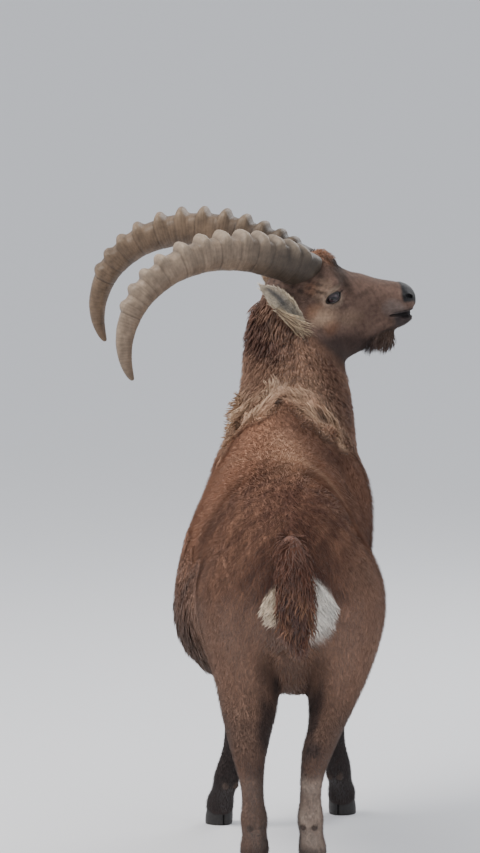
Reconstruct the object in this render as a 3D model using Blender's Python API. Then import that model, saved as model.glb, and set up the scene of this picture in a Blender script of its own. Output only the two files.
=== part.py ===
"""Alpine ibex: an adult male in winter coat that stands and looks to its right with its head held level.

Frame: the body faces +Y, its right side is +X, +Z is up, metres, the floor is z = 0.
The flesh is lofted, melted into one body, shaped, thinned, and then parted into its nodes.
"""

import math

import bmesh
import bpy
import numpy as np
from mathutils import Matrix, Vector

# Real sizes that drive the model
HORN_ARC = 0.584
HORN_START = 25.0
HORN_CURL = 142.5
HORN_DEPTH = 0.079
HORN_WIDTH = 0.062
HORN_KNOBS = (0.03, 0.08, 0.14, 0.20, 0.265, 0.335, 0.405, 0.475, 0.55, 0.615, 0.675, 0.735)
KNOB_HEIGHT = 0.0155
KNOB_REACH = 0.0165
HORN_SPREAD = 0.155
HORN_ROOT = (-0.067, 0.040, 0.058)
HORN_EASE = 1.6
HORN_HOLLOW = 0.34
HORN_SUNK = 0.035
HORN_STATIONS = 30
HORN_SIDES = 11
KNOB_EDGES = (-0.020, -0.009, 0.009, 0.020)
STATION_GAP = 0.007
HOOF_LENGTH = 0.066
HOOF_WIDTH = 0.027
HOOF_SPLIT = 0.003
EYE_RADIUS = 0.018

# A claw's levels from the sole up: toe, heel, share of the hoof's width, and share of the way up
CLAW_LEVELS = (
    (0.036, -0.0300, 1.00, 0.0),
    (0.031, -0.0300, 1.03, 0.5),
    (0.021, -0.0285, 0.94, 1.0),
)

# The dewclaw behind a fetlock, from the fetlock's centre
DEWCLAW_AT = (0.014, -0.028, -0.014)
DEWCLAW_RADII = (0.0075, 0.009, 0.014)

# The whole animal moves by this much, so that the frame's origin is under the middle of its box
ORIGIN = Vector((0.0640, -0.0352, 0.0))

# The gap that nodes keep where they meet
GAP = 0.0003

# Working sizes of the meshes
BODY_VOXEL = 0.0036
BODY_TRIANGLES = 5300
HEAD_TRIANGLES = 2900
BLOCK_HALF = 1.6
BLOCK_MIDDLE = (0.0, 0.0, 0.7)

# How the melted body is smoothed: the shares where it is soft and where it only loses its steps
SOFT_FACTOR = 0.6
SOFT_TIMES = 110
EVEN_FACTOR = 0.5
EVEN_TIMES = 3
STIFF_BELOW = 0.33
STIFF_BLEND = 0.10

# The head's own frame sits between the eyes: x to the nose, y to the animal's left, z to the brow
HEAD = (
    Matrix.Translation(Vector((0.099, 0.43, 1.1225)))
    @ Matrix.Rotation(math.radians(9.5), 4, "Z")
    @ Matrix.Rotation(math.radians(5.0), 4, "X")
)

# Planes that part the nodes: a point of each plane, and the way into the node
HEAD_PLANES = (
    (HEAD @ Vector((-0.055, 0.0, -0.07)), HEAD.to_3x3() @ Vector((0.68, 0.0, 0.73))),
)
NECK_PLANES = (
    ((0.0, 0.335, 0.835), (0.0, 0.80, 0.59)),
)
LEG_PLANES = {
    "hind_right": (
        ((0.035, 0.0, 0.43), (0.94, 0.0, -0.343)),
        ((0.010, 0.0, 0.0), (1.0, 0.0, 0.0)),
        ((0.0, -0.07, 0.45), (0.0, -0.945, -0.326)),
    ),
    "hind_left": (
        ((0.010, 0.0, 0.43), (-0.94, 0.0, -0.343)),
        ((0.009, 0.0, 0.0), (-1.0, 0.0, 0.0)),
        ((0.0, -0.07, 0.45), (0.0, -0.945, -0.326)),
    ),
    "fore_right": (
        ((0.045, 0.0, 0.45), (0.966, 0.0, -0.258)),
        ((0.020, 0.0, 0.0), (1.0, 0.0, 0.0)),
        ((0.0, 0.11, 0.6), (0.0, 1.0, 0.0)),
        ((0.0, 0.0, 0.80), (0.0, -0.3, -1.0)),
    ),
    "fore_left": (
        ((-0.025, 0.0, 0.45), (-0.966, 0.0, -0.258)),
        ((0.000, 0.0, 0.0), (-1.0, 0.0, 0.0)),
        ((0.0, 0.09, 0.6), (0.0, 1.0, 0.0)),
        ((0.0, 0.0, 0.80), (0.0, -0.3, -1.0)),
    ),
}

# Trunk sections: x, y, z of the widest point, left, right, up and down from it, top and bottom roundness
TRUNK = (
    (0.020, -0.470, 0.640, 0.045, 0.045, 0.055, 0.060, 2.0, 2.0),
    (0.020, -0.448, 0.630, 0.095, 0.095, 0.105, 0.115, 2.0, 1.8),
    (0.019, -0.380, 0.615, 0.145, 0.145, 0.175, 0.155, 2.0, 1.8),
    (0.015, -0.280, 0.595, 0.180, 0.168, 0.232, 0.190, 2.0, 1.9),
    (0.006, -0.170, 0.545, 0.205, 0.172, 0.292, 0.190, 1.95, 2.2),
    (0.000, -0.060, 0.520, 0.226, 0.184, 0.328, 0.182, 1.85, 2.4),
    (-0.003, 0.050, 0.520, 0.224, 0.188, 0.353, 0.182, 1.8, 2.4),
    (0.002, 0.140, 0.555, 0.200, 0.186, 0.365, 0.188, 1.75, 2.2),
    (0.012, 0.210, 0.615, 0.172, 0.175, 0.333, 0.205, 1.7, 2.0),
    (0.018, 0.290, 0.645, 0.148, 0.155, 0.285, 0.195, 1.8, 2.0),
    (0.016, 0.370, 0.665, 0.115, 0.115, 0.215, 0.165, 2.0, 2.0),
    (0.018, 0.425, 0.690, 0.078, 0.078, 0.130, 0.115, 2.0, 2.0),
    (0.018, 0.455, 0.705, 0.035, 0.035, 0.055, 0.055, 2.0, 2.0),
)

# Neck sections: centre, left, right, nape and throat radii, roundness twice, and the way the nape faces
NECK = (
    (0.014, 0.215, 0.735, 0.142, 0.150, 0.190, 0.190, 2.0, 2.0, 0.00, -0.50, 0.87),
    (0.022, 0.300, 0.835, 0.132, 0.138, 0.142, 0.165, 2.0, 2.0, -0.15, -0.60, 0.78),
    (0.025, 0.362, 0.930, 0.117, 0.119, 0.120, 0.135, 2.0, 2.0, -0.45, -0.62, 0.64),
    (0.022, 0.402, 1.010, 0.099, 0.099, 0.111, 0.110, 2.0, 2.0, -0.75, -0.50, 0.40),
    (0.020, 0.424, 1.075, 0.082, 0.082, 0.095, 0.090, 2.0, 2.0, -0.85, -0.30, 0.42),
    (0.026, 0.432, 1.125, 0.062, 0.062, 0.066, 0.070, 2.0, 2.0, -0.85, -0.15, 0.50),
)

# Leg sections from the hip or shoulder down: centre, half width, front and back radii
HIND_RIGHT = (
    (0.060, -0.250, 0.760, 0.050, 0.060, 0.070),
    (0.090, -0.275, 0.690, 0.085, 0.125, 0.135),
    (0.118, -0.275, 0.600, 0.099, 0.158, 0.168),
    (0.123, -0.265, 0.530, 0.099, 0.152, 0.168),
    (0.121, -0.268, 0.460, 0.086, 0.128, 0.152),
    (0.115, -0.296, 0.400, 0.070, 0.098, 0.118),
    (0.104, -0.345, 0.345, 0.051, 0.070, 0.078),
    (0.088, -0.397, 0.298, 0.037, 0.044, 0.048),
    (0.072, -0.435, 0.258, 0.033, 0.036, 0.036),
    (0.063, -0.434, 0.212, 0.027, 0.031, 0.030),
    (0.060, -0.418, 0.163, 0.0245, 0.027, 0.027),
    (0.060, -0.400, 0.116, 0.030, 0.031, 0.033),
    (0.062, -0.379, 0.078, 0.027, 0.028, 0.029),
    (0.064, -0.362, 0.047, 0.032, 0.034, 0.034),
    (0.065, -0.357, 0.022, 0.030, 0.032, 0.032),
)
HIND_LEFT = (
    (-0.027, -0.250, 0.760, 0.050, 0.060, 0.070),
    (-0.062, -0.275, 0.690, 0.085, 0.125, 0.135),
    (-0.086, -0.275, 0.600, 0.098, 0.158, 0.168),
    (-0.087, -0.265, 0.530, 0.095, 0.152, 0.168),
    (-0.081, -0.270, 0.460, 0.084, 0.130, 0.152),
    (-0.073, -0.300, 0.398, 0.073, 0.104, 0.120),
    (-0.069, -0.350, 0.342, 0.062, 0.078, 0.084),
    (-0.069, -0.402, 0.290, 0.047, 0.053, 0.056),
    (-0.067, -0.438, 0.248, 0.036, 0.037, 0.037),
    (-0.063, -0.434, 0.205, 0.028, 0.031, 0.031),
    (-0.060, -0.418, 0.158, 0.0255, 0.027, 0.027),
    (-0.058, -0.400, 0.114, 0.031, 0.031, 0.033),
    (-0.057, -0.379, 0.078, 0.028, 0.028, 0.029),
    (-0.057, -0.362, 0.047, 0.033, 0.034, 0.034),
    (-0.057, -0.357, 0.022, 0.031, 0.032, 0.032),
)
FORE_RIGHT = (
    (0.082, 0.205, 0.840, 0.064, 0.080, 0.075),
    (0.112, 0.225, 0.740, 0.076, 0.100, 0.100),
    (0.126, 0.250, 0.640, 0.064, 0.105, 0.110),
    (0.124, 0.250, 0.550, 0.058, 0.085, 0.100),
    (0.116, 0.245, 0.470, 0.048, 0.058, 0.066),
    (0.110, 0.255, 0.390, 0.037, 0.041, 0.044),
    (0.108, 0.268, 0.315, 0.031, 0.033, 0.031),
    (0.109, 0.276, 0.275, 0.033, 0.036, 0.031),
    (0.111, 0.276, 0.225, 0.027, 0.028, 0.027),
    (0.115, 0.279, 0.165, 0.0235, 0.025, 0.024),
    (0.121, 0.290, 0.106, 0.030, 0.030, 0.034),
    (0.126, 0.310, 0.072, 0.027, 0.027, 0.029),
    (0.129, 0.327, 0.047, 0.032, 0.034, 0.034),
    (0.130, 0.332, 0.022, 0.030, 0.032, 0.032),
)
FORE_LEFT = (
    (-0.058, 0.205, 0.840, 0.066, 0.080, 0.075),
    (-0.090, 0.220, 0.740, 0.071, 0.100, 0.100),
    (-0.104, 0.230, 0.640, 0.064, 0.105, 0.110),
    (-0.102, 0.215, 0.550, 0.058, 0.085, 0.100),
    (-0.095, 0.195, 0.470, 0.048, 0.058, 0.066),
    (-0.090, 0.190, 0.390, 0.037, 0.041, 0.044),
    (-0.089, 0.190, 0.315, 0.031, 0.033, 0.031),
    (-0.091, 0.190, 0.275, 0.033, 0.036, 0.031),
    (-0.097, 0.180, 0.225, 0.027, 0.028, 0.027),
    (-0.106, 0.172, 0.165, 0.0235, 0.025, 0.024),
    (-0.118, 0.172, 0.106, 0.030, 0.030, 0.034),
    (-0.126, 0.187, 0.072, 0.027, 0.027, 0.029),
    (-0.132, 0.201, 0.047, 0.032, 0.034, 0.034),
    (-0.134, 0.206, 0.022, 0.030, 0.032, 0.032),
)

# Above this height the leg sections lie level, and they turn to follow the leg over the next stretch
LEG_LEVEL = 0.34
LEVEL_BLEND = 0.06

# Feet: the middle of the hoof on the floor, how far it turns out in degrees, and the fetlock's centre
FEET = {
    "hind_left": ((-0.057, -0.357), 8.0, (-0.058, -0.400, 0.114)),
    "hind_right": ((0.065, -0.357), -8.0, (0.060, -0.400, 0.116)),
    "fore_left": ((-0.134, 0.206), 20.0, (-0.118, 0.172, 0.106)),
    "fore_right": ((0.130, 0.332), -18.0, (0.121, 0.290, 0.106)),
}
CORONET_FRONT = 0.045
CORONET_BACK = 0.026

# Skull and upper muzzle in the head's frame: x, z of the widest point, half width, top z, bottom z, roundness
SKULL = (
    (-0.150, -0.035, 0.030, 0.000, -0.075, 2.0, 2.0),
    (-0.130, -0.030, 0.052, 0.030, -0.095, 2.0, 2.0),
    (-0.100, -0.020, 0.064, 0.055, -0.112, 2.1, 2.0),
    (-0.065, -0.010, 0.070, 0.076, -0.125, 2.3, 2.0),
    (-0.030, 0.000, 0.0715, 0.087, -0.130, 2.3, 2.0),
    (0.000, 0.004, 0.0705, 0.0730, -0.122, 2.4, 2.0),
    (0.022, 0.004, 0.063, 0.0545, -0.112, 2.4, 2.0),
    (0.045, 0.000, 0.053, 0.0430, -0.098, 2.3, 2.0),
    (0.075, -0.005, 0.046, 0.0345, -0.083, 2.3, 2.1),
    (0.105, -0.010, 0.041, 0.0260, -0.066, 2.3, 2.2),
    (0.130, -0.014, 0.038, 0.0210, -0.0535, 2.3, 2.4),
    (0.150, -0.016, 0.036, 0.0180, -0.0495, 2.3, 2.5),
    (0.168, -0.018, 0.033, 0.0135, -0.0460, 2.3, 2.5),
    (0.180, -0.020, 0.027, 0.0060, -0.0440, 2.2, 2.3),
    (0.188, -0.022, 0.018, -0.0040, -0.0410, 2.0, 2.0),
    (0.192, -0.024, 0.008, -0.0150, -0.0340, 2.0, 2.0),
)
JAW = (
    (-0.060, -0.075, 0.053, 0.000, -0.135, 2.0, 2.0),
    (-0.025, -0.085, 0.055, -0.010, -0.154, 2.0, 2.0),
    (0.015, -0.088, 0.050, -0.020, -0.160, 2.0, 2.0),
    (0.045, -0.084, 0.043, -0.030, -0.152, 2.0, 2.0),
    (0.075, -0.076, 0.036, -0.040, -0.136, 2.0, 2.0),
    (0.105, -0.070, 0.031, -0.045, -0.113, 2.0, 2.0),
    (0.130, -0.068, 0.0285, -0.0510, -0.093, 2.2, 2.0),
    (0.150, -0.066, 0.0270, -0.0530, -0.0865, 2.4, 2.0),
    (0.168, -0.062, 0.0235, -0.0510, -0.0790, 2.4, 2.0),
    (0.180, -0.059, 0.0175, -0.0500, -0.0710, 2.4, 2.0),
    (0.187, -0.057, 0.0090, -0.0515, -0.0640, 2.2, 2.0),
)

# Lids and nostrils
LID = 0.0028
LID_LENGTH = 0.0360
LID_HEIGHT = 0.0190
LID_SLANT = 33.0
LID_LOWER = 0.85
NOSTRIL_AT = (0.172, 0.031, -0.0085)
NOSTRIL_RADII = (0.0085, 0.010, 0.0040)
NOSTRIL_TURN = 28.0
NOSTRIL_SLOPE = 24.0

# Forms of the left side of the head: where, how far they reach, and how they move the skin
HEAD_REACH = 0.24
HEAD_FORMS = (
    ((0.004, 0.064, 0.026), 0.026, (0.002, 0.0065, 0.003)),
    ((-0.022, 0.068, 0.006), 0.024, (0.0, 0.004, 0.0)),
    ((0.034, 0.060, -0.004), 0.024, (0.0, -0.006, 0.0)),
    ((0.020, 0.060, -0.030), 0.026, (0.0, 0.003, 0.0)),
    ((-0.010, 0.062, -0.078), 0.045, (0.0, 0.006, -0.001)),
    ((0.055, 0.042, -0.075), 0.035, (0.0, -0.005, 0.0)),
    ((0.075, 0.0, 0.035), 0.030, (0.0, 0.0, 0.002)),
    ((0.166, 0.032, -0.004), 0.016, (0.001, 0.004, 0.001)),
    ((0.150, 0.036, -0.034), 0.020, (0.0, 0.003, -0.002)),
    ((0.118, 0.040, -0.052), 0.018, (0.0, -0.005, 0.0)),
    ((0.176, 0.018, -0.060), 0.014, (0.002, 0.002, 0.001)),
    ((0.190, 0.0, -0.024), 0.010, (-0.002, 0.0, 0.0)),
)

# The trunk's own middle plane, and the forms of one side of it: where they are, measured from that plane,
# how far they reach, and how they move the skin
MIDLINE = 0.018
BODY_FORMS = (
    ((0.190, 0.185, 0.650), 0.135, (0.013, 0.0, 0.0)),
    ((0.195, 0.075, 0.565), 0.105, (-0.014, 0.0, 0.0)),
    ((0.150, 0.165, 0.480), 0.075, (0.011, -0.004, 0.0)),
    ((0.185, -0.135, 0.640), 0.135, (-0.006, 0.0, 0.0)),
    ((0.130, -0.230, 0.765), 0.080, (0.004, 0.0, 0.002)),
    ((0.165, -0.150, 0.460), 0.085, (-0.012, 0.0, 0.0)),
    ((0.034, -0.400, 0.395), 0.048, (-0.005, 0.0, -0.016)),
)

# The spare depth that the head keeps below its seam while it is thinned
HEAD_SPARE = 0.012

# The beard's core in the head's frame
BEARD_AT = (0.129, 0.0, -0.104)
BEARD_RADII = (0.024, 0.013, 0.024)
BEARD_LOCKS = 12
BEARD_RING = (0.021, 0.010)
BEARD_LOCK = (0.028, 0.017)

# The groin fills the space between the thighs
GROIN_AT = (0.026, -0.270, 0.445)
GROIN_RADII = (0.070, 0.100, 0.090)

# The eyeball's centre on the animal's left, in the head's frame
EYE_AT = (0.0, 0.0570, -0.0005)

# The left ear in the head's frame: the middle of its root, its tip, and the way its hollow faces
EAR_BASE = (-0.064, 0.082, -0.077)
EAR_TIPS = {1: (-0.118, 0.178, 0.015), -1: (-0.173, 0.152, 0.047)}
EAR_FACE = (-0.05, 1.0, 0.05)
EAR_BEND = 0.008
EAR_CURVE = 0.010
EAR_FILL = 0.004

# Ear sections from root to tip: place along it, half width, depth of its back, and bulge of its front
EAR_ROWS = (
    (-0.12, 0.012, 0.012, 0.010),
    (0.06, 0.0145, 0.014, 0.011),
    (0.16, 0.0170, 0.015, 0.004),
    (0.28, 0.0190, 0.016, -0.007),
    (0.45, 0.0205, 0.016, -0.0110),
    (0.62, 0.0190, 0.014, -0.0100),
    (0.78, 0.0145, 0.011, -0.0070),
    (0.90, 0.0085, 0.007, -0.0040),
    (1.00, 0.0022, 0.003, 0.0010),
)

# Tail core sections from its root to its tip, as the neck's
TAIL = (
    (0.018, -0.420, 0.700, 0.020, 0.020, 0.018, 0.018, 2.0, 2.0, 0.0, 0.0, 1.0),
    (0.018, -0.458, 0.704, 0.026, 0.026, 0.021, 0.021, 2.0, 2.0, 0.0, -0.2, 1.0),
    (0.021, -0.482, 0.684, 0.033, 0.033, 0.022, 0.022, 2.0, 2.0, 0.0, -0.8, 0.6),
    (0.026, -0.491, 0.640, 0.039, 0.039, 0.023, 0.023, 2.0, 2.0, 0.0, -1.0, 0.1),
    (0.030, -0.490, 0.580, 0.040, 0.040, 0.022, 0.022, 2.0, 2.0, 0.0, -1.0, 0.0),
    (0.031, -0.484, 0.530, 0.031, 0.030, 0.017, 0.017, 2.0, 2.0, 0.0, -1.0, 0.0),
    (0.031, -0.477, 0.495, 0.015, 0.013, 0.009, 0.009, 2.0, 2.0, 0.0, -1.0, 0.0),
)

# Tail locks: rows and locks in a row, the height of the top row and its step, and a lock's length and width
TAIL_ROWS = 4
TAIL_ROW_LOCKS = 4
TAIL_BACK = -0.484
TAIL_TOP = 0.66
TAIL_STEP = 0.045
TAIL_RING = (0.024, 0.010)
TAIL_LOCK = (0.085, 0.020)

# Each look's colour and roughness
COLOURS = {
    "coat": ((0.20, 0.115, 0.075), 0.85),
    "tail_coat": ((0.09, 0.04, 0.028), 0.85),
    "ear_coat": ((0.34, 0.27, 0.21), 0.85),
    "horn": ((0.20, 0.16, 0.115), 0.6),
    "hoof": ((0.03, 0.027, 0.025), 0.5),
    "eye": ((0.02, 0.014, 0.01), 0.1),
}


def clear_scene():
    for old in list(bpy.data.objects):
        bpy.data.objects.remove(old)


def material(name):
    found = bpy.data.materials.get(name)
    if found:
        return found
    colour, roughness = COLOURS[name]
    made = bpy.data.materials.new(name)
    made.use_nodes = True
    shader = made.node_tree.nodes["Principled BSDF"]
    shader.inputs["Base Color"].default_value = (*colour, 1.0)
    shader.inputs["Roughness"].default_value = roughness
    return made


def place(obj, name, look):
    """Names a finished node, gives it its material and moves it into the frame."""
    obj.name = name
    obj.data.name = name
    obj.data.materials.clear()
    obj.data.materials.append(material(look))
    obj.data.transform(Matrix.Translation(ORIGIN))
    return obj


def mesh_object(name, points, faces):
    mesh = bpy.data.meshes.new(name)
    mesh.from_pydata([tuple(p) for p in points], [], faces)
    mesh.update()
    made = bpy.data.objects.new(name, mesh)
    bpy.context.scene.collection.objects.link(made)
    face_outwards(made)
    return made


def face_outwards(obj):
    shape = bmesh.new()
    shape.from_mesh(obj.data)
    bmesh.ops.recalc_face_normals(shape, faces=shape.faces)
    if shape.calc_volume(signed=True) < 0:
        bmesh.ops.reverse_faces(shape, faces=shape.faces)
    shape.to_mesh(obj.data)
    shape.free()


def unit(vectors):
    vectors = np.asarray(vectors, float)
    return vectors / np.maximum(np.linalg.norm(vectors, axis=-1, keepdims=True), 1e-12)


def smooth_rows(rows, count):
    """The rows resampled on a smooth curve through them, evenly along their centres."""
    rows = np.array(rows, float)
    steps = np.linalg.norm(np.diff(rows[:, :3], axis=0), axis=1)
    at = np.concatenate([[0.0], np.cumsum(steps)])
    slope = np.gradient(rows, at, axis=0)
    want = np.linspace(0.0, at[-1], count)
    i = np.clip(np.searchsorted(at, want, side="right") - 1, 0, len(at) - 2)
    span = (at[i + 1] - at[i])[:, None]
    t = ((want - at[i]) / (at[i + 1] - at[i]))[:, None]
    a, b = rows[i], rows[i + 1]
    return (
        (2 * t**3 - 3 * t**2 + 1) * a
        + (t**3 - 2 * t**2 + t) * span * slope[i]
        + (-2 * t**3 + 3 * t**2) * b
        + (t**3 - t**2) * span * slope[i + 1]
    )


def ring_shape(sides, left, right, up, down, top_power, bottom_power):
    """Points round one section, as side and up distances: a superellipse with four radii."""
    angle = np.linspace(0.0, 2 * math.pi, sides, endpoint=False)
    c, s = np.cos(angle), np.sin(angle)
    power = np.where(s >= 0, 2.0 / top_power, 2.0 / bottom_power)
    across = np.sign(c) * np.abs(c) ** power * np.where(c >= 0, right, left)
    high = np.sign(s) * np.abs(s) ** power * np.where(s >= 0, up, down)
    return across, high


def tube(name, rings):
    """One closed mesh through rings of points, with a point in the middle of each end."""
    count, sides = rings.shape[:2]
    points = list(rings.reshape(-1, 3))
    faces = []
    for i in range(count - 1):
        for k in range(sides):
            n = (k + 1) % sides
            faces.append((i * sides + k, i * sides + n, (i + 1) * sides + n, (i + 1) * sides + k))
    for i in (0, count - 1):
        points.append(rings[i].mean(axis=0))
        for k in range(sides):
            faces.append((i * sides + k, i * sides + (k + 1) % sides, len(points) - 1))
    return mesh_object(name, points, faces)


def loft(name, rows, rings=48, sides=32, along=None, level_above=None):
    """A tube through sections: centre, left, right, up, down, roundness twice, and the way that up faces."""
    rows = smooth_rows(rows, rings)
    centre = rows[:, :3]
    tangent = unit(np.gradient(centre, axis=0)) if along is None else np.tile(along, (rings, 1))
    if level_above is not None:
        follow = np.clip((level_above - centre[:, 2:]) / LEVEL_BLEND, 0.0, 1.0)
        tangent = unit(follow * tangent + (1 - follow) * np.array((0.0, 0.0, -1.0)))
    up = rows[:, 9:12]
    up = unit(up - tangent * (up * tangent).sum(axis=1, keepdims=True))
    side = np.cross(tangent, up)
    sections = np.empty((rings, sides, 3))
    for i, row in enumerate(rows):
        left, right, high, low = row[3:7]
        across, rise = ring_shape(sides, left, right, high, low, row[7], row[8])
        sections[i] = centre[i] + across[:, None] * side[i] + rise[:, None] * up[i]
    return tube(name, sections)


def leg(name, rows):
    full = [(x, y, z, w, w, front, back, 2.0, 2.0, 0.0, 1.0, 0.0) for x, y, z, w, front, back in rows]
    return loft(name, full, rings=80, sides=24, level_above=LEG_LEVEL)


def head_piece(name, rows):
    full = [
        (x, 0.0, z, half, half, top - z, z - bottom, up_power, down_power, 0.0, 0.0, 1.0)
        for x, z, half, top, bottom, up_power, down_power in rows
    ]
    made = loft(name, full, rings=60, sides=40, along=(1.0, 0.0, 0.0))
    made.data.transform(HEAD)
    return made


def ellipsoid(name, centre, radii, turn=None, segments=14, rings=8):
    shape = bmesh.new()
    turn = turn or Matrix.Identity(4)
    matrix = Matrix.Translation(Vector(centre)) @ turn @ Matrix.Diagonal((*radii, 1.0))
    bmesh.ops.create_uvsphere(shape, u_segments=segments, v_segments=rings, radius=1.0, matrix=matrix)
    mesh = bpy.data.meshes.new(name)
    shape.to_mesh(mesh)
    shape.free()
    made = bpy.data.objects.new(name, mesh)
    bpy.context.scene.collection.objects.link(made)
    face_outwards(made)
    return made


def join(objects, name):
    """The objects as one mesh, with nothing welded."""
    shape = bmesh.new()
    for obj in objects:
        shape.from_mesh(obj.data)
        bpy.data.objects.remove(obj)
    mesh = bpy.data.meshes.new(name)
    shape.to_mesh(mesh)
    shape.free()
    made = bpy.data.objects.new(name, mesh)
    bpy.context.scene.collection.objects.link(made)
    return made


def settle(obj):
    """Applies an object's modifiers."""
    graph = bpy.context.evaluated_depsgraph_get()
    mesh = bpy.data.meshes.new_from_object(obj.evaluated_get(graph))
    obj.modifiers.clear()
    obj.data = mesh


def boolean(obj, other, operation):
    """One Boolean step. Where the exact solver returns nothing, the manifold solver does it."""
    before = obj.data.copy()
    for solver in ("EXACT", "MANIFOLD"):
        step = obj.modifiers.new("step", "BOOLEAN")
        step.operation = operation
        step.solver = solver
        step.object = other
        settle(obj)
        if len(obj.data.polygons) > 0:
            break
        obj.data = before
    bpy.data.objects.remove(other)
    return obj


def unite(obj, others):
    """Unites an object with many small closed pieces that may cross one another."""
    group = bpy.data.collections.new("pieces")
    bpy.context.scene.collection.children.link(group)
    for other in others:
        bpy.context.scene.collection.objects.unlink(other)
        group.objects.link(other)
    step = obj.modifiers.new("step", "BOOLEAN")
    step.operation = "UNION"
    step.solver = "EXACT"
    step.operand_type = "COLLECTION"
    step.collection = group
    settle(obj)
    for other in others:
        bpy.data.objects.remove(other)
    bpy.data.collections.remove(group)
    return obj


def keep_largest(obj):
    """Leaves only the largest connected surface, all in triangles."""
    shape = bmesh.new()
    shape.from_mesh(obj.data)
    bmesh.ops.triangulate(shape, faces=shape.faces)
    seen = set()
    best = []
    for start in shape.faces:
        if start in seen:
            continue
        seen.add(start)
        island, stack = [], [start]
        while stack:
            face = stack.pop()
            island.append(face)
            for edge in face.edges:
                for near in edge.link_faces:
                    if near not in seen:
                        seen.add(near)
                        stack.append(near)
        if len(island) > len(best):
            best = island
    kept = set(best)
    bmesh.ops.delete(shape, geom=[face for face in shape.faces if face not in kept], context="FACES")
    shape.to_mesh(obj.data)
    shape.free()
    return obj


def copy_of(obj, name):
    made = bpy.data.objects.new(name, obj.data.copy())
    bpy.context.scene.collection.objects.link(made)
    return made


def swollen(obj):
    """A copy of a finished piece, pushed out by the gap, that cuts the room the piece needs."""
    shape = bmesh.new()
    shape.from_mesh(obj.data)
    shape.normal_update()
    moves = [(v, v.normal * GAP * min(v.calc_shell_factor(), 2.5)) for v in shape.verts]
    for v, move in moves:
        v.co += move
    mesh = bpy.data.meshes.new("room")
    shape.to_mesh(mesh)
    shape.free()
    made = bpy.data.objects.new("room", mesh)
    bpy.context.scene.collection.objects.link(made)
    return made


def region(planes, grow):
    """The closed block on the inner side of every plane, which each move out by grow."""
    shape = bmesh.new()
    bmesh.ops.create_cube(shape, size=2 * BLOCK_HALF, matrix=Matrix.Translation(Vector(BLOCK_MIDDLE)))
    for point, inward in planes:
        inward = Vector(inward).normalized()
        everything = shape.verts[:] + shape.edges[:] + shape.faces[:]
        cut = bmesh.ops.bisect_plane(
            shape, geom=everything, plane_co=Vector(point) - inward * grow, plane_no=inward, clear_inner=True
        )
        rim = [item for item in cut["geom_cut"] if isinstance(item, bmesh.types.BMEdge)]
        bmesh.ops.contextual_create(shape, geom=rim)
    mesh = bpy.data.meshes.new("region")
    shape.to_mesh(mesh)
    shape.free()
    made = bpy.data.objects.new("region", mesh)
    bpy.context.scene.collection.objects.link(made)
    face_outwards(made)
    return made


def part_off(body, name, planes):
    """Takes the part of the body inside the planes as a new object and leaves a gap where it was."""
    piece = copy_of(body, name)
    boolean(piece, region(planes, 0.0), "INTERSECT")
    keep_largest(piece)
    cut_away(body, planes)
    return piece


def cut_away(body, planes):
    boolean(body, region(planes, GAP), "DIFFERENCE")
    keep_largest(body)


def to_head(vector):
    """A direction in the head's frame, turned into the world's."""
    return HEAD.to_3x3() @ Vector(vector)


def body_pieces():
    trunk_rows = [(*row, 0.0, 0.0, 1.0) for row in TRUNK]
    pieces = [
        loft("trunk", trunk_rows, along=(0.0, 1.0, 0.0)),
        loft("neck", NECK),
        leg("hind_right", HIND_RIGHT),
        leg("hind_left", HIND_LEFT),
        leg("fore_right", FORE_RIGHT),
        leg("fore_left", FORE_LEFT),
        head_piece("skull", SKULL),
        head_piece("jaw", JAW),
    ]
    pieces.append(ellipsoid("groin", GROIN_AT, GROIN_RADII))
    pieces.append(ellipsoid("beard", HEAD @ Vector(BEARD_AT), BEARD_RADII))
    for (_, turn, fetlock) in FEET.values():
        frame = Matrix.Translation(Vector(fetlock)) @ Matrix.Rotation(math.radians(turn), 4, "Z")
        for side in (-1, 1):
            at = frame @ Vector((side * DEWCLAW_AT[0], *DEWCLAW_AT[1:]))
            pieces.append(ellipsoid("dewclaw", at, DEWCLAW_RADII))
    return pieces


def softness(points):
    """How much each point of the body is smoothed: the big joints much, head and lower legs little."""
    high = np.clip((points[:, 2] - STIFF_BELOW) / STIFF_BLEND, 0.05, 1.0)
    head = np.array(HEAD.inverted())
    local = points @ head[:3, :3].T + head[:3, 3]
    inside = np.clip((local[:, 0] * 0.68 + (local[:, 2] + 0.07) * 0.73 + 0.035) / 0.06, 0.0, 1.0)
    near = np.clip((0.32 - np.linalg.norm(local, axis=1)) / 0.08, 0.0, 1.0)
    return high * (1.0 - 0.97 * inside * near)


def positions(mesh):
    points = np.empty(len(mesh.vertices) * 3)
    mesh.vertices.foreach_get("co", points)
    return points.reshape(-1, 3)


def melt(objects):
    """One skin round all the pieces, smoothed most where the big muscles meet."""
    whole = join(objects, "whole")
    remesh = whole.modifiers.new("melt", "REMESH")
    remesh.mode = "VOXEL"
    remesh.voxel_size = BODY_VOXEL
    settle(whole)
    soft = whole.vertex_groups.new(name="soft")
    weights = softness(positions(whole.data))
    levels = np.round(weights, 2)
    for level in np.unique(levels):
        soft.add(np.nonzero(levels == level)[0].tolist(), float(level), "REPLACE")
    melted = whole.modifiers.new("soft", "SMOOTH")
    melted.factor = SOFT_FACTOR
    melted.iterations = SOFT_TIMES
    melted.vertex_group = "soft"
    even = whole.modifiers.new("even", "SMOOTH")
    even.factor = EVEN_FACTOR
    even.iterations = EVEN_TIMES
    settle(whole)
    return whole


def nearness(points, centre, radius):
    """One at a centre, falling smoothly to nothing at a radius."""
    distance = np.linalg.norm(points - np.array(centre), axis=1) / radius
    return np.clip(1.0 - distance**2, 0.0, 1.0) ** 2


def raise_forms(points, forms):
    """Moves the points round each form's centre, less towards its reach."""
    for centre, reach, push in forms:
        points = points + nearness(points, centre, reach)[:, None] * np.array(push)
    return points


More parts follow.
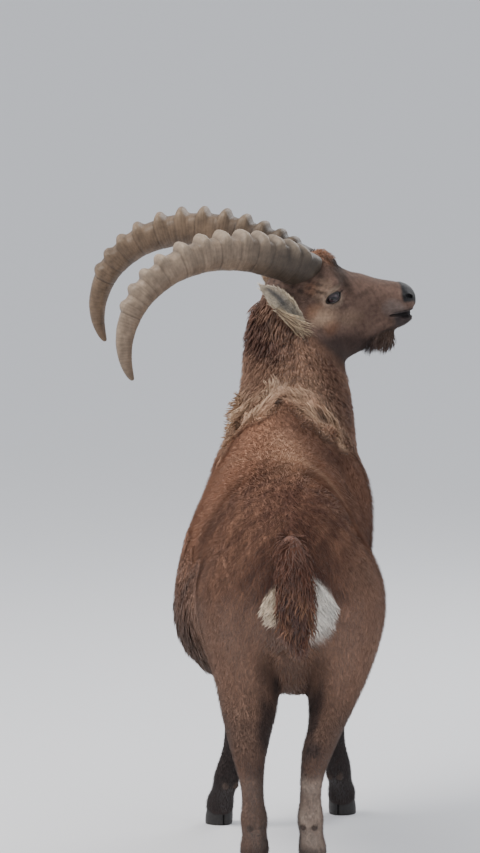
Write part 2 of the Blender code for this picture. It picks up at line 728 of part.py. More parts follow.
def shape_trunk(points):
    """Shoulder, elbow, hip and the hollows behind them, the same on both sides."""
    side = np.where(points[:, :1] < MIDLINE, -1.0, 1.0)
    half = np.hstack([np.abs(points[:, :1] - MIDLINE), points[:, 1:]])
    half = raise_forms(half, BODY_FORMS)
    return np.hstack([MIDLINE + side * half[:, :1], half[:, 1:]])


def shape_head(points):
    """Raises and sinks the head's forms on both sides at once. Points are in the head's frame."""
    sign = np.where(points[:, 1:2] < 0, -1.0, 1.0)
    p = np.abs(points[:, 1:2])
    p = np.hstack([points[:, :1], p, points[:, 2:]])
    p = raise_forms(p, HEAD_FORMS)
    out = p - np.array(EYE_AT)
    far = np.linalg.norm(out, axis=1)
    lid = EYE_RADIUS + LID
    facing = np.clip((out[:, 1] / np.maximum(far, 1e-9) - 0.15) / 0.3, 0.0, 1.0)
    lift = np.maximum(lid - far, 0.0) * facing
    p = p + out / np.maximum(far, 1e-9)[:, None] * lift[:, None]
    p[:, 1:2] *= sign
    return p


def sculpt(obj):
    points = shape_trunk(positions(obj.data))
    head = np.array(HEAD)
    back = np.array(HEAD.inverted())
    local = points @ back[:3, :3].T + back[:3, 3]
    near = np.linalg.norm(local, axis=1) < HEAD_REACH
    local[near] = shape_head(local[near])
    points[near] = local[near] @ head[:3, :3].T + head[:3, 3]
    obj.data.vertices.foreach_set("co", points.ravel())
    obj.data.update()
    smooth = obj.modifiers.new("even", "SMOOTH")
    smooth.factor = EVEN_FACTOR
    smooth.iterations = EVEN_TIMES - 1
    settle(obj)


def thin(obj, triangles):
    """Collapses edges until about this many triangles are left."""
    count = sum(len(polygon.vertices) - 2 for polygon in obj.data.polygons)
    step = obj.modifiers.new("thin", "DECIMATE")
    step.ratio = triangles / count
    step.use_collapse_triangulate = True
    settle(obj)
    return obj


def foot_frame(foot):
    (x, y), turn, _ = FEET[foot]
    return Matrix.Translation(Vector((x, y, 0.0))) @ Matrix.Rotation(math.radians(turn), 4, "Z")


def coronet_height(y):
    """The height of the hoof's top edge at a distance in front of the foot's middle."""
    middle = (CORONET_FRONT + CORONET_BACK) / 2
    return middle + (CORONET_FRONT - CORONET_BACK) * y / HOOF_LENGTH


def cut_foot(obj, foot):
    """Ends a leg just above its hooves."""
    frame = foot_frame(foot)
    slope = (CORONET_FRONT - CORONET_BACK) / HOOF_LENGTH
    down = frame.to_3x3() @ Vector((0.0, slope, -1.0))
    top = frame @ Vector((0.0, 0.0, coronet_height(0.0) + GAP))
    boolean(obj, region(((top, down),), 0.0), "DIFFERENCE")
    keep_largest(obj)


def claw(foot, side):
    """One half of a cloven hoof: flat inner wall and sole, rounded outer wall, pointed toe."""
    rings = []
    for toe, heel, width, lift in CLAW_LEVELS:
        ring = []
        for t in np.linspace(0.0, 1.0, 8):
            bulge = max(0.0, math.sin(math.pi * t)) ** 0.55
            point_in = 1.0 - 0.45 * max(0.0, t - 0.6) / 0.4
            x = HOOF_SPLIT / 2 + 0.002 * t * t + HOOF_WIDTH * width * bulge * point_in
            ring.append((x, heel + (toe - heel) * t))
        for t in (0.75, 0.5, 0.25):
            ring.append((HOOF_SPLIT / 2, heel + (toe - heel) * t))
        rings.append([(side * x, y, lift * coronet_height(y)) for x, y in ring])
    made = tube("claw", np.array(rings, float))
    made.data.transform(foot_frame(foot))
    return made


def horn_stations():
    """Distances along a horn, closer together at its knobs, from its sunk root to its tip."""
    stations = set(np.linspace(0.0, 1.0, HORN_STATIONS).round(4))
    for at in HORN_KNOBS:
        stations.update(round(at + edge, 4) for edge in KNOB_EDGES)
    kept = [-HORN_SUNK]
    for station in sorted(stations):
        if 0.0 <= station <= 1.0 and station - kept[-1] > STATION_GAP:
            kept.append(station)
    return np.array(kept)


def horn_rings(side):
    """Sections of a horn in the head's frame: a bow that bends faster towards the tip, knobbed in front."""
    s = horn_stations()
    t = np.clip(s, 0.0, 1.0)
    sunk = np.minimum(s, 0.0)
    fine = np.linspace(0.0, 1.0, 400)
    angle = np.radians(HORN_START - HORN_CURL * fine**HORN_EASE)
    back = np.concatenate([[0.0], np.cumsum(np.cos(angle))[:-1]]) * HORN_ARC / len(fine)
    rise = np.concatenate([[0.0], np.cumsum(np.sin(angle))[:-1]]) * HORN_ARC / len(fine)
    start = math.radians(HORN_START)
    x = HORN_ROOT[0] - np.interp(t, fine, back) - sunk * HORN_ARC * math.cos(start)
    y = HORN_ROOT[1] + HORN_SPREAD * (1 - (1 - t) ** 2 + 2 * sunk)
    z = HORN_ROOT[2] + np.interp(t, fine, rise) + sunk * HORN_ARC * math.sin(start)
    centre = np.stack([x, y, z], axis=1)
    tangent = unit(np.gradient(centre, axis=0))
    heading = np.radians(HORN_START - HORN_CURL * t**HORN_EASE)
    front = np.stack([np.sin(heading), np.zeros_like(t), np.cos(heading)], axis=1)
    front = unit(front - tangent * (front * tangent).sum(axis=1, keepdims=True))
    across = np.cross(tangent, front)
    depth = HORN_DEPTH / 2 * np.sqrt(np.maximum(1 - t**3, 0.0)) * (1 - 0.2 * t) + 0.0015
    width = HORN_WIDTH / HORN_DEPTH * depth
    turn = np.linspace(0.0, 2 * math.pi, HORN_SIDES, endpoint=False) + math.pi / 2
    power = np.where(np.sin(turn) > 0, 2 / 3.2, 1.0)
    a = np.sign(np.cos(turn)) * np.abs(np.cos(turn)) ** power
    b = np.sign(np.sin(turn)) * np.abs(np.sin(turn)) ** power
    rings = np.empty((len(s), HORN_SIDES, 3))
    for i, bump in enumerate(knob_height(s)):
        lift = bump * np.clip((b - 0.5) / 0.35, 0.0, 1.0)
        wide = width[i] * a * np.where(b > 0, 1.0, 1.0 + 0.25 * b) + 0.3 * lift * a
        deep = depth[i] * b * np.where(b > 0, 1.0, 1.0 - HORN_HOLLOW * t[i]) + lift
        rings[i] = centre[i] + wide[:, None] * across[i] + deep[:, None] * front[i]
    if side < 0:
        rings[:, :, 1] *= -1
    return rings


def knob_height(s):
    """How far the knobs stand up from the front of a horn. The middle ones are the highest."""
    height = np.zeros_like(s)
    for i, at in enumerate(HORN_KNOBS):
        share = 0.45 + 0.6 * math.sin(math.pi * min(1.0, 0.06 + i / (len(HORN_KNOBS) - 0.5)))
        height = np.maximum(height, KNOB_HEIGHT * share * np.exp(-np.abs((s - at) / KNOB_REACH) ** 3))
    return height


def horn(side):
    made = tube("horn", horn_rings(side))
    made.data.transform(HEAD)
    return keep_largest(made)


def ear(side, filled=False):
    """A leaf that lies back from the head, hollow to the side, on a root sunk in the head."""
    base, tip = np.array(EAR_BASE), np.array(EAR_TIPS[side])
    axis = unit(tip - base)
    length = np.linalg.norm(tip - base)
    face = np.array(EAR_FACE)
    face = unit(face - axis * (face @ axis))
    across = np.cross(axis, face)
    rows = smooth_rows([(t, 0.0, 0.0, *rest) for t, *rest in EAR_ROWS], 13)
    rings = []
    for row in rows:
        t, half, back, front = row[0], row[3], row[4], row[5]
        if filled:
            front = max(front, EAR_FILL)
        bow = math.sin(math.pi * max(t, 0.0))
        middle = base + axis * length * t - face * EAR_BEND * bow - across * EAR_CURVE * bow
        ring = []
        for k in range(7):
            turn = math.pi * k / 7
            ring.append(middle + across * half * math.cos(turn) - face * back * math.sin(turn))
        for k in range(7):
            turn = math.pi * k / 7
            ring.append(middle - across * half * math.cos(turn) + face * front * math.sin(turn))
        rings.append(ring)
    rings = np.array(rings)
    if side < 0:
        rings[:, :, 1] *= -1
    made = tube("ear", rings)
    made.data.transform(HEAD)
    return keep_largest(made)


def lid_opening(side):
    """An almond prism that opens the lids over an eye, higher at its front corner."""
    rings = []
    for depth, spread in ((0.0, 0.9), (0.035, 1.08)):
        ring = []
        for k in range(16):
            turn = 2 * math.pi * k / 16
            x = LID_LENGTH / 2 * math.cos(turn) * spread
            tall = LID_HEIGHT / 2 * (1.0 if math.sin(turn) > 0 else LID_LOWER)
            z = tall * math.copysign(abs(math.sin(turn)) ** 1.25, math.sin(turn)) * spread
            slant = math.radians(LID_SLANT)
            ring.append(
                (
                    EYE_AT[0] + x * math.cos(slant) - z * math.sin(slant),
                    side * (EYE_AT[1] + depth),
                    EYE_AT[2] + x * math.sin(slant) + z * math.cos(slant),
                )
            )
        rings.append(ring)
    made = tube("opening", np.array(rings))
    made.data.transform(HEAD)
    return made


def nostril(side):
    """A slanting comma of a hole beside the tip of the nose."""
    x, y, z = NOSTRIL_AT
    turn = Matrix.Rotation(-side * math.radians(NOSTRIL_TURN), 4, "Z")
    turn = turn @ Matrix.Rotation(-math.radians(NOSTRIL_SLOPE), 4, "Y")
    hole = ellipsoid("nostril", (x, side * y, z), NOSTRIL_RADII, turn, 12, 8)
    hole.data.transform(HEAD)
    return hole


def lock(root, way, flat, length, width, droop=0.0, thick=0.35):
    """A flat tapered lock of hair that starts inside the body. Way and flat are directions."""
    way = Vector(way).normalized()
    flat = Vector(flat)
    flat = (flat - way * flat.dot(way)).normalized()
    side = way.cross(flat)
    rings = []
    for t, w in ((0.0, 0.75), (0.3, 1.0), (0.62, 0.8), (0.86, 0.45)):
        middle = Vector(root) + way * length * t + flat * droop * length * t * t
        half = width / 2 * w
        rings.append(
            [
                middle - side * half,
                middle + flat * half * thick,
                middle + side * half,
                middle - flat * half * thick,
            ]
        )
    end = Vector(root) + way * length + flat * droop * length
    points = [tuple(p) for ring in rings for p in ring] + [tuple(end)]
    faces = [(0, 1, 2, 3)]
    for i in range(3):
        for k in range(4):
            n = (k + 1) % 4
            faces.append((i * 4 + k, i * 4 + n, i * 4 + 4 + n, i * 4 + 4 + k))
    for k in range(4):
        faces.append((12 + k, 12 + (k + 1) % 4, 16))
    return mesh_object("lock", points, faces)


def beard_locks():
    """Short overlapping locks that hang round the beard's core."""
    locks = []
    rng = np.random.default_rng(7)
    length, width = BEARD_LOCK
    for i in range(BEARD_LOCKS):
        turn = 2 * math.pi * i / BEARD_LOCKS
        c, s = math.cos(turn), math.sin(turn)
        root = HEAD @ Vector((BEARD_AT[0] + BEARD_RING[0] * c, BEARD_RING[1] * s, BEARD_AT[2] + 0.006))
        way = to_head((0.15 * c - 0.18 + rng.uniform(-0.06, 0.06), 0.25 * s, -1.0))
        flat = to_head((c, s, 0.0))
        reach = length + rng.uniform(-0.006, 0.003)
        locks.append(lock(root, way, flat, reach, width, droop=-0.10, thick=0.5))
    return locks


def tail_locks():
    """Rows of locks that hang down the back and the sides of the tail's core."""
    locks = []
    rng = np.random.default_rng(11)
    length, width = TAIL_LOCK
    for row in range(TAIL_ROWS):
        height = TAIL_TOP - TAIL_STEP * row
        middle = Vector((0.029 - 0.1 * (height - 0.6), TAIL_BACK, height))
        for k in range(TAIL_ROW_LOCKS):
            turn = math.radians(-75 + 50 * k + rng.uniform(-8, 8))
            out = Vector((math.sin(turn), -math.cos(turn), 0.0))
            root = middle + Vector((out.x * TAIL_RING[0], out.y * TAIL_RING[1], 0.0))
            way = Vector((out.x * 0.30, out.y * 0.16, -1.0))
            locks.append(lock(root, way, out, length + rng.uniform(-0.01, 0.012), width, droop=-0.10))
    return locks


def build():
    clear_scene()
    body = melt(body_pieces())
    sculpt(body)
    head = copy_of(body, "head")
    boolean(head, region(HEAD_PLANES, HEAD_SPARE), "INTERSECT")
    thin(head, HEAD_TRIANGLES)
    boolean(head, region(HEAD_PLANES, 0.0), "INTERSECT")
    keep_largest(head)
    thin(body, BODY_TRIANGLES)
    cut_away(body, HEAD_PLANES)
    neck = part_off(body, "neck", NECK_PLANES)
    legs = {name: part_off(body, name, planes) for name, planes in LEG_PLANES.items()}
    torso = body

    for name, obj in legs.items():
        cut_foot(obj, name)
        place(obj, name + "_leg", "coat")
        outer = 1 if "right" in name else -1
        place(claw(name, outer), name + "_hoof_out", "hoof")
        place(claw(name, -outer), name + "_hoof_in", "hoof")

    for side, word in ((1, "left"), (-1, "right")):
        one_horn, one_ear = horn(side), ear(side)
        ear_room = ear(side, filled=True)
        for flesh, grown in ((head, one_horn), (head, ear_room), (neck, ear_room)):
            boolean(flesh, swollen(grown), "DIFFERENCE")
            keep_largest(flesh)
        bpy.data.objects.remove(ear_room)
        eye_at = HEAD @ Vector((EYE_AT[0], side * EYE_AT[1], EYE_AT[2]))
        ball = EYE_RADIUS + GAP
        boolean(head, ellipsoid("socket", eye_at, (ball, ball, ball)), "DIFFERENCE")
        boolean(head, lid_opening(side), "DIFFERENCE")
        boolean(head, nostril(side), "DIFFERENCE")
        place(one_horn, "horn_" + word, "horn")
        place(one_ear, "ear_" + word, "ear_coat")
        place(ellipsoid("eye", eye_at, (EYE_RADIUS,) * 3), "eye_" + word, "eye")
    keep_largest(head)
    unite(head, beard_locks())
    keep_largest(head)
    place(head, "head", "coat")
    place(neck, "neck", "coat")

    tail = keep_largest(loft("tail", TAIL, rings=12, sides=14))
    boolean(torso, swollen(tail), "DIFFERENCE")
    keep_largest(torso)
    unite(tail, tail_locks())
    keep_largest(tail)
    place(tail, "tail", "tail_coat")
    place(torso, "torso", "coat")


if __name__ == "__main__":
    build()
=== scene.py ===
"""Looks of the alpine ibex: skin, coat, horns, hooves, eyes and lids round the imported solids.

Shapes are made in the plan's frame, where the body faces +Y and its right side is +X, and then
moved by ORIGIN. The skin lies inside the solids by the depth of the coat, and the tufts reach out to them.
"""

import math

import bmesh
import bpy
import numpy as np
from mathutils import Matrix, Vector
from mathutils.kdtree import KDTree


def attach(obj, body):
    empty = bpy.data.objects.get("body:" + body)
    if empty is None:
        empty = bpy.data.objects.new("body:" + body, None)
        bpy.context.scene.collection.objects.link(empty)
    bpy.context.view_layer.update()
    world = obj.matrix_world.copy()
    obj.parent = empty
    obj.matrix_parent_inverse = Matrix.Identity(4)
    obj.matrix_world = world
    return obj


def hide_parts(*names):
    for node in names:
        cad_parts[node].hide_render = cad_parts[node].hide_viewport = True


# From the plan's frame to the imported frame
ORIGIN = Vector((0.0640, -0.0352, 0.0))

# The photograph: pixels to the metre at the plan's origin, which lies at a pixel, and the way the camera looks
FRAME_WIDTH = 480
FRAME_HEIGHT = 853
PIXELS_PER_METRE = 470.0
ORIGIN_PIXEL = (282.0, 840.0)
CAMERA_DISTANCE = 24.0
CAMERA_ELEVATION = 10.0

# Working sizes of the skin
BODY_VOXEL = 0.0052
SKIN_TRIANGLES = 190_000

# The most triangles in one piece of the coat
PIECE_TRIANGLES = 195_000

# Real sizes that drive the shapes
HORN_ARC = 0.584
HORN_START = 25.0
HORN_CURL = 142.5
HORN_DEPTH = 0.079
HORN_WIDTH = 0.062
HORN_KNOBS = (0.03, 0.08, 0.14, 0.20, 0.265, 0.335, 0.405, 0.475, 0.55, 0.615, 0.675, 0.735)
KNOB_HEIGHT = 0.0155
KNOB_REACH = 0.0165
HORN_SPREAD = 0.155
HORN_ROOT = (-0.067, 0.040, 0.058)
HORN_EASE = 1.6
HORN_HOLLOW = 0.34
HOOF_LENGTH = 0.066
HOOF_WIDTH = 0.027
HOOF_SPLIT = 0.003
EYE_RADIUS = 0.018

# The body's middle plane, the tail's middle, and which way along its width the ear's lower edge lies
MIDLINE = 0.018
TAIL_MIDDLE = 0.030
LOWER_EDGE = -1.0

# The head's own frame sits between the eyes: x to the nose, y to the animal's left, z to the brow
HEAD = (
    Matrix.Translation(Vector((0.099, 0.43, 1.1225)))
    @ Matrix.Rotation(math.radians(9.5), 4, "Z")
    @ Matrix.Rotation(math.radians(5.0), 4, "X")
)

# Trunk sections: x, y, z of the widest point, left, right, up and down from it, top and bottom roundness
TRUNK = (
    (0.020, -0.470, 0.640, 0.045, 0.045, 0.055, 0.060, 2.0, 2.0),
    (0.020, -0.448, 0.630, 0.095, 0.095, 0.105, 0.115, 2.0, 1.8),
    (0.019, -0.380, 0.615, 0.145, 0.145, 0.175, 0.155, 2.0, 1.8),
    (0.015, -0.280, 0.595, 0.180, 0.168, 0.232, 0.190, 2.0, 1.9),
    (0.006, -0.170, 0.545, 0.205, 0.172, 0.292, 0.190, 1.95, 2.2),
    (0.000, -0.060, 0.520, 0.226, 0.184, 0.328, 0.182, 1.85, 2.4),
    (-0.003, 0.050, 0.520, 0.224, 0.188, 0.353, 0.182, 1.8, 2.4),
    (0.002, 0.140, 0.555, 0.200, 0.186, 0.365, 0.188, 1.75, 2.2),
    (0.012, 0.210, 0.615, 0.172, 0.175, 0.333, 0.205, 1.7, 2.0),
    (0.018, 0.290, 0.645, 0.148, 0.155, 0.285, 0.195, 1.8, 2.0),
    (0.016, 0.370, 0.665, 0.115, 0.115, 0.215, 0.165, 2.0, 2.0),
    (0.018, 0.425, 0.690, 0.078, 0.078, 0.130, 0.115, 2.0, 2.0),
    (0.018, 0.455, 0.705, 0.035, 0.035, 0.055, 0.055, 2.0, 2.0),
)

# Neck sections: centre, left, right, nape and throat radii, roundness twice, and the way the nape faces
NECK = (
    (0.014, 0.215, 0.735, 0.142, 0.150, 0.190, 0.190, 2.0, 2.0, 0.00, -0.50, 0.87),
    (0.022, 0.300, 0.835, 0.132, 0.138, 0.142, 0.165, 2.0, 2.0, -0.15, -0.60, 0.78),
    (0.025, 0.362, 0.930, 0.117, 0.119, 0.120, 0.135, 2.0, 2.0, -0.45, -0.62, 0.64),
    (0.022, 0.402, 1.010, 0.099, 0.099, 0.111, 0.110, 2.0, 2.0, -0.75, -0.50, 0.40),
    (0.020, 0.424, 1.075, 0.082, 0.082, 0.095, 0.090, 2.0, 2.0, -0.85, -0.30, 0.42),
    (0.026, 0.432, 1.125, 0.062, 0.062, 0.066, 0.070, 2.0, 2.0, -0.85, -0.15, 0.50),
)

# Leg sections from the hip or shoulder down: centre, half width, front and back radii
HIND_RIGHT = (
    (0.060, -0.250, 0.760, 0.050, 0.060, 0.070),
    (0.090, -0.275, 0.690, 0.085, 0.125, 0.135),
    (0.118, -0.275, 0.600, 0.099, 0.158, 0.168),
    (0.123, -0.265, 0.530, 0.099, 0.152, 0.168),
    (0.121, -0.268, 0.460, 0.086, 0.128, 0.152),
    (0.115, -0.296, 0.400, 0.070, 0.098, 0.118),
    (0.104, -0.345, 0.345, 0.051, 0.070, 0.078),
    (0.088, -0.397, 0.298, 0.037, 0.044, 0.048),
    (0.072, -0.435, 0.258, 0.033, 0.036, 0.036),
    (0.063, -0.434, 0.212, 0.027, 0.031, 0.030),
    (0.060, -0.418, 0.163, 0.0245, 0.027, 0.027),
    (0.060, -0.400, 0.116, 0.030, 0.031, 0.033),
    (0.062, -0.379, 0.078, 0.027, 0.028, 0.029),
    (0.064, -0.362, 0.047, 0.032, 0.034, 0.034),
    (0.065, -0.357, 0.022, 0.030, 0.032, 0.032),
)
HIND_LEFT = (
    (-0.027, -0.250, 0.760, 0.050, 0.060, 0.070),
    (-0.062, -0.275, 0.690, 0.085, 0.125, 0.135),
    (-0.086, -0.275, 0.600, 0.098, 0.158, 0.168),
    (-0.087, -0.265, 0.530, 0.095, 0.152, 0.168),
    (-0.081, -0.270, 0.460, 0.084, 0.130, 0.152),
    (-0.073, -0.300, 0.398, 0.073, 0.104, 0.120),
    (-0.069, -0.350, 0.342, 0.062, 0.078, 0.084),
    (-0.069, -0.402, 0.290, 0.047, 0.053, 0.056),
    (-0.067, -0.438, 0.248, 0.036, 0.037, 0.037),
    (-0.063, -0.434, 0.205, 0.028, 0.031, 0.031),
    (-0.060, -0.418, 0.158, 0.0255, 0.027, 0.027),
    (-0.058, -0.400, 0.114, 0.031, 0.031, 0.033),
    (-0.057, -0.379, 0.078, 0.028, 0.028, 0.029),
    (-0.057, -0.362, 0.047, 0.033, 0.034, 0.034),
    (-0.057, -0.357, 0.022, 0.031, 0.032, 0.032),
)
FORE_RIGHT = (
    (0.082, 0.205, 0.840, 0.064, 0.080, 0.075),
    (0.112, 0.225, 0.740, 0.076, 0.100, 0.100),
    (0.126, 0.250, 0.640, 0.064, 0.105, 0.110),
    (0.124, 0.250, 0.550, 0.058, 0.085, 0.100),
    (0.116, 0.245, 0.470, 0.048, 0.058, 0.066),
    (0.110, 0.255, 0.390, 0.037, 0.041, 0.044),
    (0.108, 0.268, 0.315, 0.031, 0.033, 0.031),
    (0.109, 0.276, 0.275, 0.033, 0.036, 0.031),
    (0.111, 0.276, 0.225, 0.027, 0.028, 0.027),
    (0.115, 0.279, 0.165, 0.0235, 0.025, 0.024),
    (0.121, 0.290, 0.106, 0.030, 0.030, 0.034),
    (0.126, 0.310, 0.072, 0.027, 0.027, 0.029),
    (0.129, 0.327, 0.047, 0.032, 0.034, 0.034),
    (0.130, 0.332, 0.022, 0.030, 0.032, 0.032),
)
FORE_LEFT = (
    (-0.058, 0.205, 0.840, 0.066, 0.080, 0.075),
    (-0.090, 0.220, 0.740, 0.071, 0.100, 0.100),
    (-0.104, 0.230, 0.640, 0.064, 0.105, 0.110),
    (-0.102, 0.215, 0.550, 0.058, 0.085, 0.100),
    (-0.095, 0.195, 0.470, 0.048, 0.058, 0.066),
    (-0.090, 0.190, 0.390, 0.037, 0.041, 0.044),
    (-0.089, 0.190, 0.315, 0.031, 0.033, 0.031),
    (-0.091, 0.190, 0.275, 0.033, 0.036, 0.031),
    (-0.097, 0.180, 0.225, 0.027, 0.028, 0.027),
    (-0.106, 0.172, 0.165, 0.0235, 0.025, 0.024),
    (-0.118, 0.172, 0.106, 0.030, 0.030, 0.034),
    (-0.126, 0.187, 0.072, 0.027, 0.027, 0.029),
    (-0.132, 0.201, 0.047, 0.032, 0.034, 0.034),
    (-0.134, 0.206, 0.022, 0.030, 0.032, 0.032),
)

# Above this height the leg sections lie level, and they turn to follow the leg over the next stretch
LEG_LEVEL = 0.34
LEVEL_BLEND = 0.06

# Feet: the middle of the hoof on the floor, how far it turns out in degrees, and the fetlock's centre
FEET = {
    "hind_left": ((-0.057, -0.357), 8.0, (-0.058, -0.400, 0.114)),
    "hind_right": ((0.065, -0.357), -8.0, (0.060, -0.400, 0.116)),
    "fore_left": ((-0.134, 0.206), 20.0, (-0.118, 0.172, 0.106)),
    "fore_right": ((0.130, 0.332), -18.0, (0.121, 0.290, 0.106)),
}
CORONET_FRONT = 0.045
CORONET_BACK = 0.026

# Skull and upper muzzle in the head's frame: x, z of the widest point, half width, top z, bottom z, roundness
SKULL = (
    (-0.150, -0.035, 0.030, 0.000, -0.075, 2.0, 2.0),
    (-0.130, -0.030, 0.052, 0.030, -0.095, 2.0, 2.0),
    (-0.100, -0.020, 0.064, 0.055, -0.112, 2.1, 2.0),
    (-0.065, -0.010, 0.070, 0.076, -0.125, 2.3, 2.0),
    (-0.030, 0.000, 0.0715, 0.087, -0.130, 2.3, 2.0),
    (0.000, 0.004, 0.0705, 0.0730, -0.122, 2.4, 2.0),
    (0.022, 0.004, 0.063, 0.0545, -0.112, 2.4, 2.0),
    (0.045, 0.000, 0.053, 0.0430, -0.098, 2.3, 2.0),
    (0.075, -0.005, 0.046, 0.0345, -0.083, 2.3, 2.1),
    (0.105, -0.010, 0.041, 0.0260, -0.066, 2.3, 2.2),
    (0.130, -0.014, 0.038, 0.0210, -0.0535, 2.3, 2.4),
    (0.150, -0.016, 0.036, 0.0180, -0.0495, 2.3, 2.5),
    (0.168, -0.018, 0.033, 0.0135, -0.0460, 2.3, 2.5),
    (0.180, -0.020, 0.027, 0.0060, -0.0440, 2.2, 2.3),
    (0.188, -0.022, 0.018, -0.0040, -0.0410, 2.0, 2.0),
    (0.192, -0.024, 0.008, -0.0150, -0.0340, 2.0, 2.0),
)
JAW = (
    (-0.060, -0.075, 0.053, 0.000, -0.135, 2.0, 2.0),
    (-0.025, -0.085, 0.055, -0.010, -0.154, 2.0, 2.0),
    (0.015, -0.088, 0.050, -0.020, -0.160, 2.0, 2.0),
    (0.045, -0.084, 0.043, -0.030, -0.152, 2.0, 2.0),
    (0.075, -0.076, 0.036, -0.040, -0.136, 2.0, 2.0),
    (0.105, -0.070, 0.031, -0.045, -0.113, 2.0, 2.0),
    (0.130, -0.068, 0.0285, -0.0510, -0.093, 2.2, 2.0),
    (0.150, -0.066, 0.0270, -0.0530, -0.0865, 2.4, 2.0),
    (0.168, -0.062, 0.0235, -0.0510, -0.0790, 2.4, 2.0),
    (0.180, -0.059, 0.0175, -0.0500, -0.0710, 2.4, 2.0),
    (0.187, -0.057, 0.0090, -0.0515, -0.0640, 2.2, 2.0),
)

# Lids and nostrils
LID = 0.0028
LID_LENGTH = 0.0360
LID_HEIGHT = 0.0190
LID_SLANT = 33.0
NOSTRIL_AT = (0.172, 0.031, -0.0085)

# Forms of the left side of the head: where, how far they reach, and how they move the skin
HEAD_REACH = 0.24
HEAD_FORMS = (
    ((0.004, 0.064, 0.026), 0.026, (0.002, 0.0065, 0.003)),
    ((-0.022, 0.068, 0.006), 0.024, (0.0, 0.004, 0.0)),
    ((0.034, 0.060, -0.004), 0.024, (0.0, -0.006, 0.0)),
    ((0.020, 0.060, -0.030), 0.026, (0.0, 0.003, 0.0)),
    ((-0.010, 0.062, -0.078), 0.045, (0.0, 0.006, -0.001)),
    ((0.055, 0.042, -0.075), 0.035, (0.0, -0.005, 0.0)),
    ((0.075, 0.0, 0.035), 0.030, (0.0, 0.0, 0.002)),
    ((0.166, 0.032, -0.004), 0.016, (0.001, 0.004, 0.001)),
    ((0.150, 0.036, -0.034), 0.020, (0.0, 0.003, -0.002)),
    ((0.118, 0.040, -0.052), 0.018, (0.0, -0.005, 0.0)),
    ((0.176, 0.018, -0.060), 0.014, (0.002, 0.002, 0.001)),
    ((0.190, 0.0, -0.024), 0.010, (-0.002, 0.0, 0.0)),
)

# Forms of one side of the trunk: where they are, measured from its middle plane, how far they reach, and
# how they move the skin
BODY_FORMS = (
    ((0.190, 0.185, 0.650), 0.135, (0.013, 0.0, 0.0)),
    ((0.195, 0.075, 0.565), 0.105, (-0.014, 0.0, 0.0)),
    ((0.150, 0.165, 0.480), 0.075, (0.011, -0.004, 0.0)),
    ((0.185, -0.135, 0.640), 0.135, (-0.006, 0.0, 0.0)),
    ((0.130, -0.230, 0.765), 0.080, (0.004, 0.0, 0.002)),
    ((0.165, -0.150, 0.460), 0.085, (-0.012, 0.0, 0.0)),
    ((0.034, -0.400, 0.395), 0.048, (-0.005, 0.0, -0.016)),
)

# The forelock between the horns, in the head's frame
FORELOCK_AT = (-0.004, 0.0, 0.074)
FORELOCK_REACH = 0.052

# The beard's core in the head's frame
BEARD_AT = (0.129, 0.0, -0.104)
BEARD_RADII = (0.024, 0.013, 0.024)

# The groin fills the space between the thighs
GROIN_AT = (0.026, -0.270, 0.445)
GROIN_RADII = (0.070, 0.100, 0.090)

# The eyeball's centre on the animal's left, in the head's frame
EYE_AT = (0.0, 0.0570, -0.0005)

# The left ear in the head's frame: the middle of its root, its tip, and the way its hollow faces
EAR_BASE = (-0.064, 0.082, -0.077)
EAR_TIPS = {1: (-0.118, 0.178, 0.015), -1: (-0.173, 0.152, 0.047)}
EAR_FACE = (-0.05, 1.0, 0.05)
EAR_BEND = 0.008
EAR_CURVE = 0.010

# Ear sections from root to tip: place along it, half width, depth of its back, and bulge of its front
EAR_ROWS = (
    (-0.12, 0.012, 0.012, 0.010),
    (0.06, 0.0145, 0.014, 0.011),
    (0.16, 0.0170, 0.015, 0.004),
    (0.28, 0.0190, 0.016, -0.007),
    (0.45, 0.0205, 0.016, -0.0110),
    (0.62, 0.0190, 0.014, -0.0100),
    (0.78, 0.0145, 0.011, -0.0070),
    (0.90, 0.0085, 0.007, -0.0040),
    (1.00, 0.0022, 0.003, 0.0010),
)

# Tail core sections from its root to its tip, as the neck's
TAIL = (
    (0.018, -0.420, 0.700, 0.020, 0.020, 0.018, 0.018, 2.0, 2.0, 0.0, 0.0, 1.0),
    (0.018, -0.458, 0.704, 0.026, 0.026, 0.021, 0.021, 2.0, 2.0, 0.0, -0.2, 1.0),
    (0.021, -0.482, 0.684, 0.033, 0.033, 0.022, 0.022, 2.0, 2.0, 0.0, -0.8, 0.6),
    (0.026, -0.491, 0.640, 0.039, 0.039, 0.023, 0.023, 2.0, 2.0, 0.0, -1.0, 0.1),
    (0.030, -0.490, 0.580, 0.040, 0.040, 0.022, 0.022, 2.0, 2.0, 0.0, -1.0, 0.0),
    (0.031, -0.484, 0.530, 0.031, 0.030, 0.017, 0.017, 2.0, 2.0, 0.0, -1.0, 0.0),
    (0.031, -0.477, 0.495, 0.015, 0.013, 0.009, 0.009, 2.0, 2.0, 0.0, -1.0, 0.0),
)

def linear(red, green, blue):
    """A colour as it looks on a screen, 0 to 255, turned into the renderer's linear values."""
    c = np.array((red, green, blue), float) / 255.0
    return np.where(c <= 0.04045, c / 12.92, ((c + 0.055) / 1.055) ** 2.4)


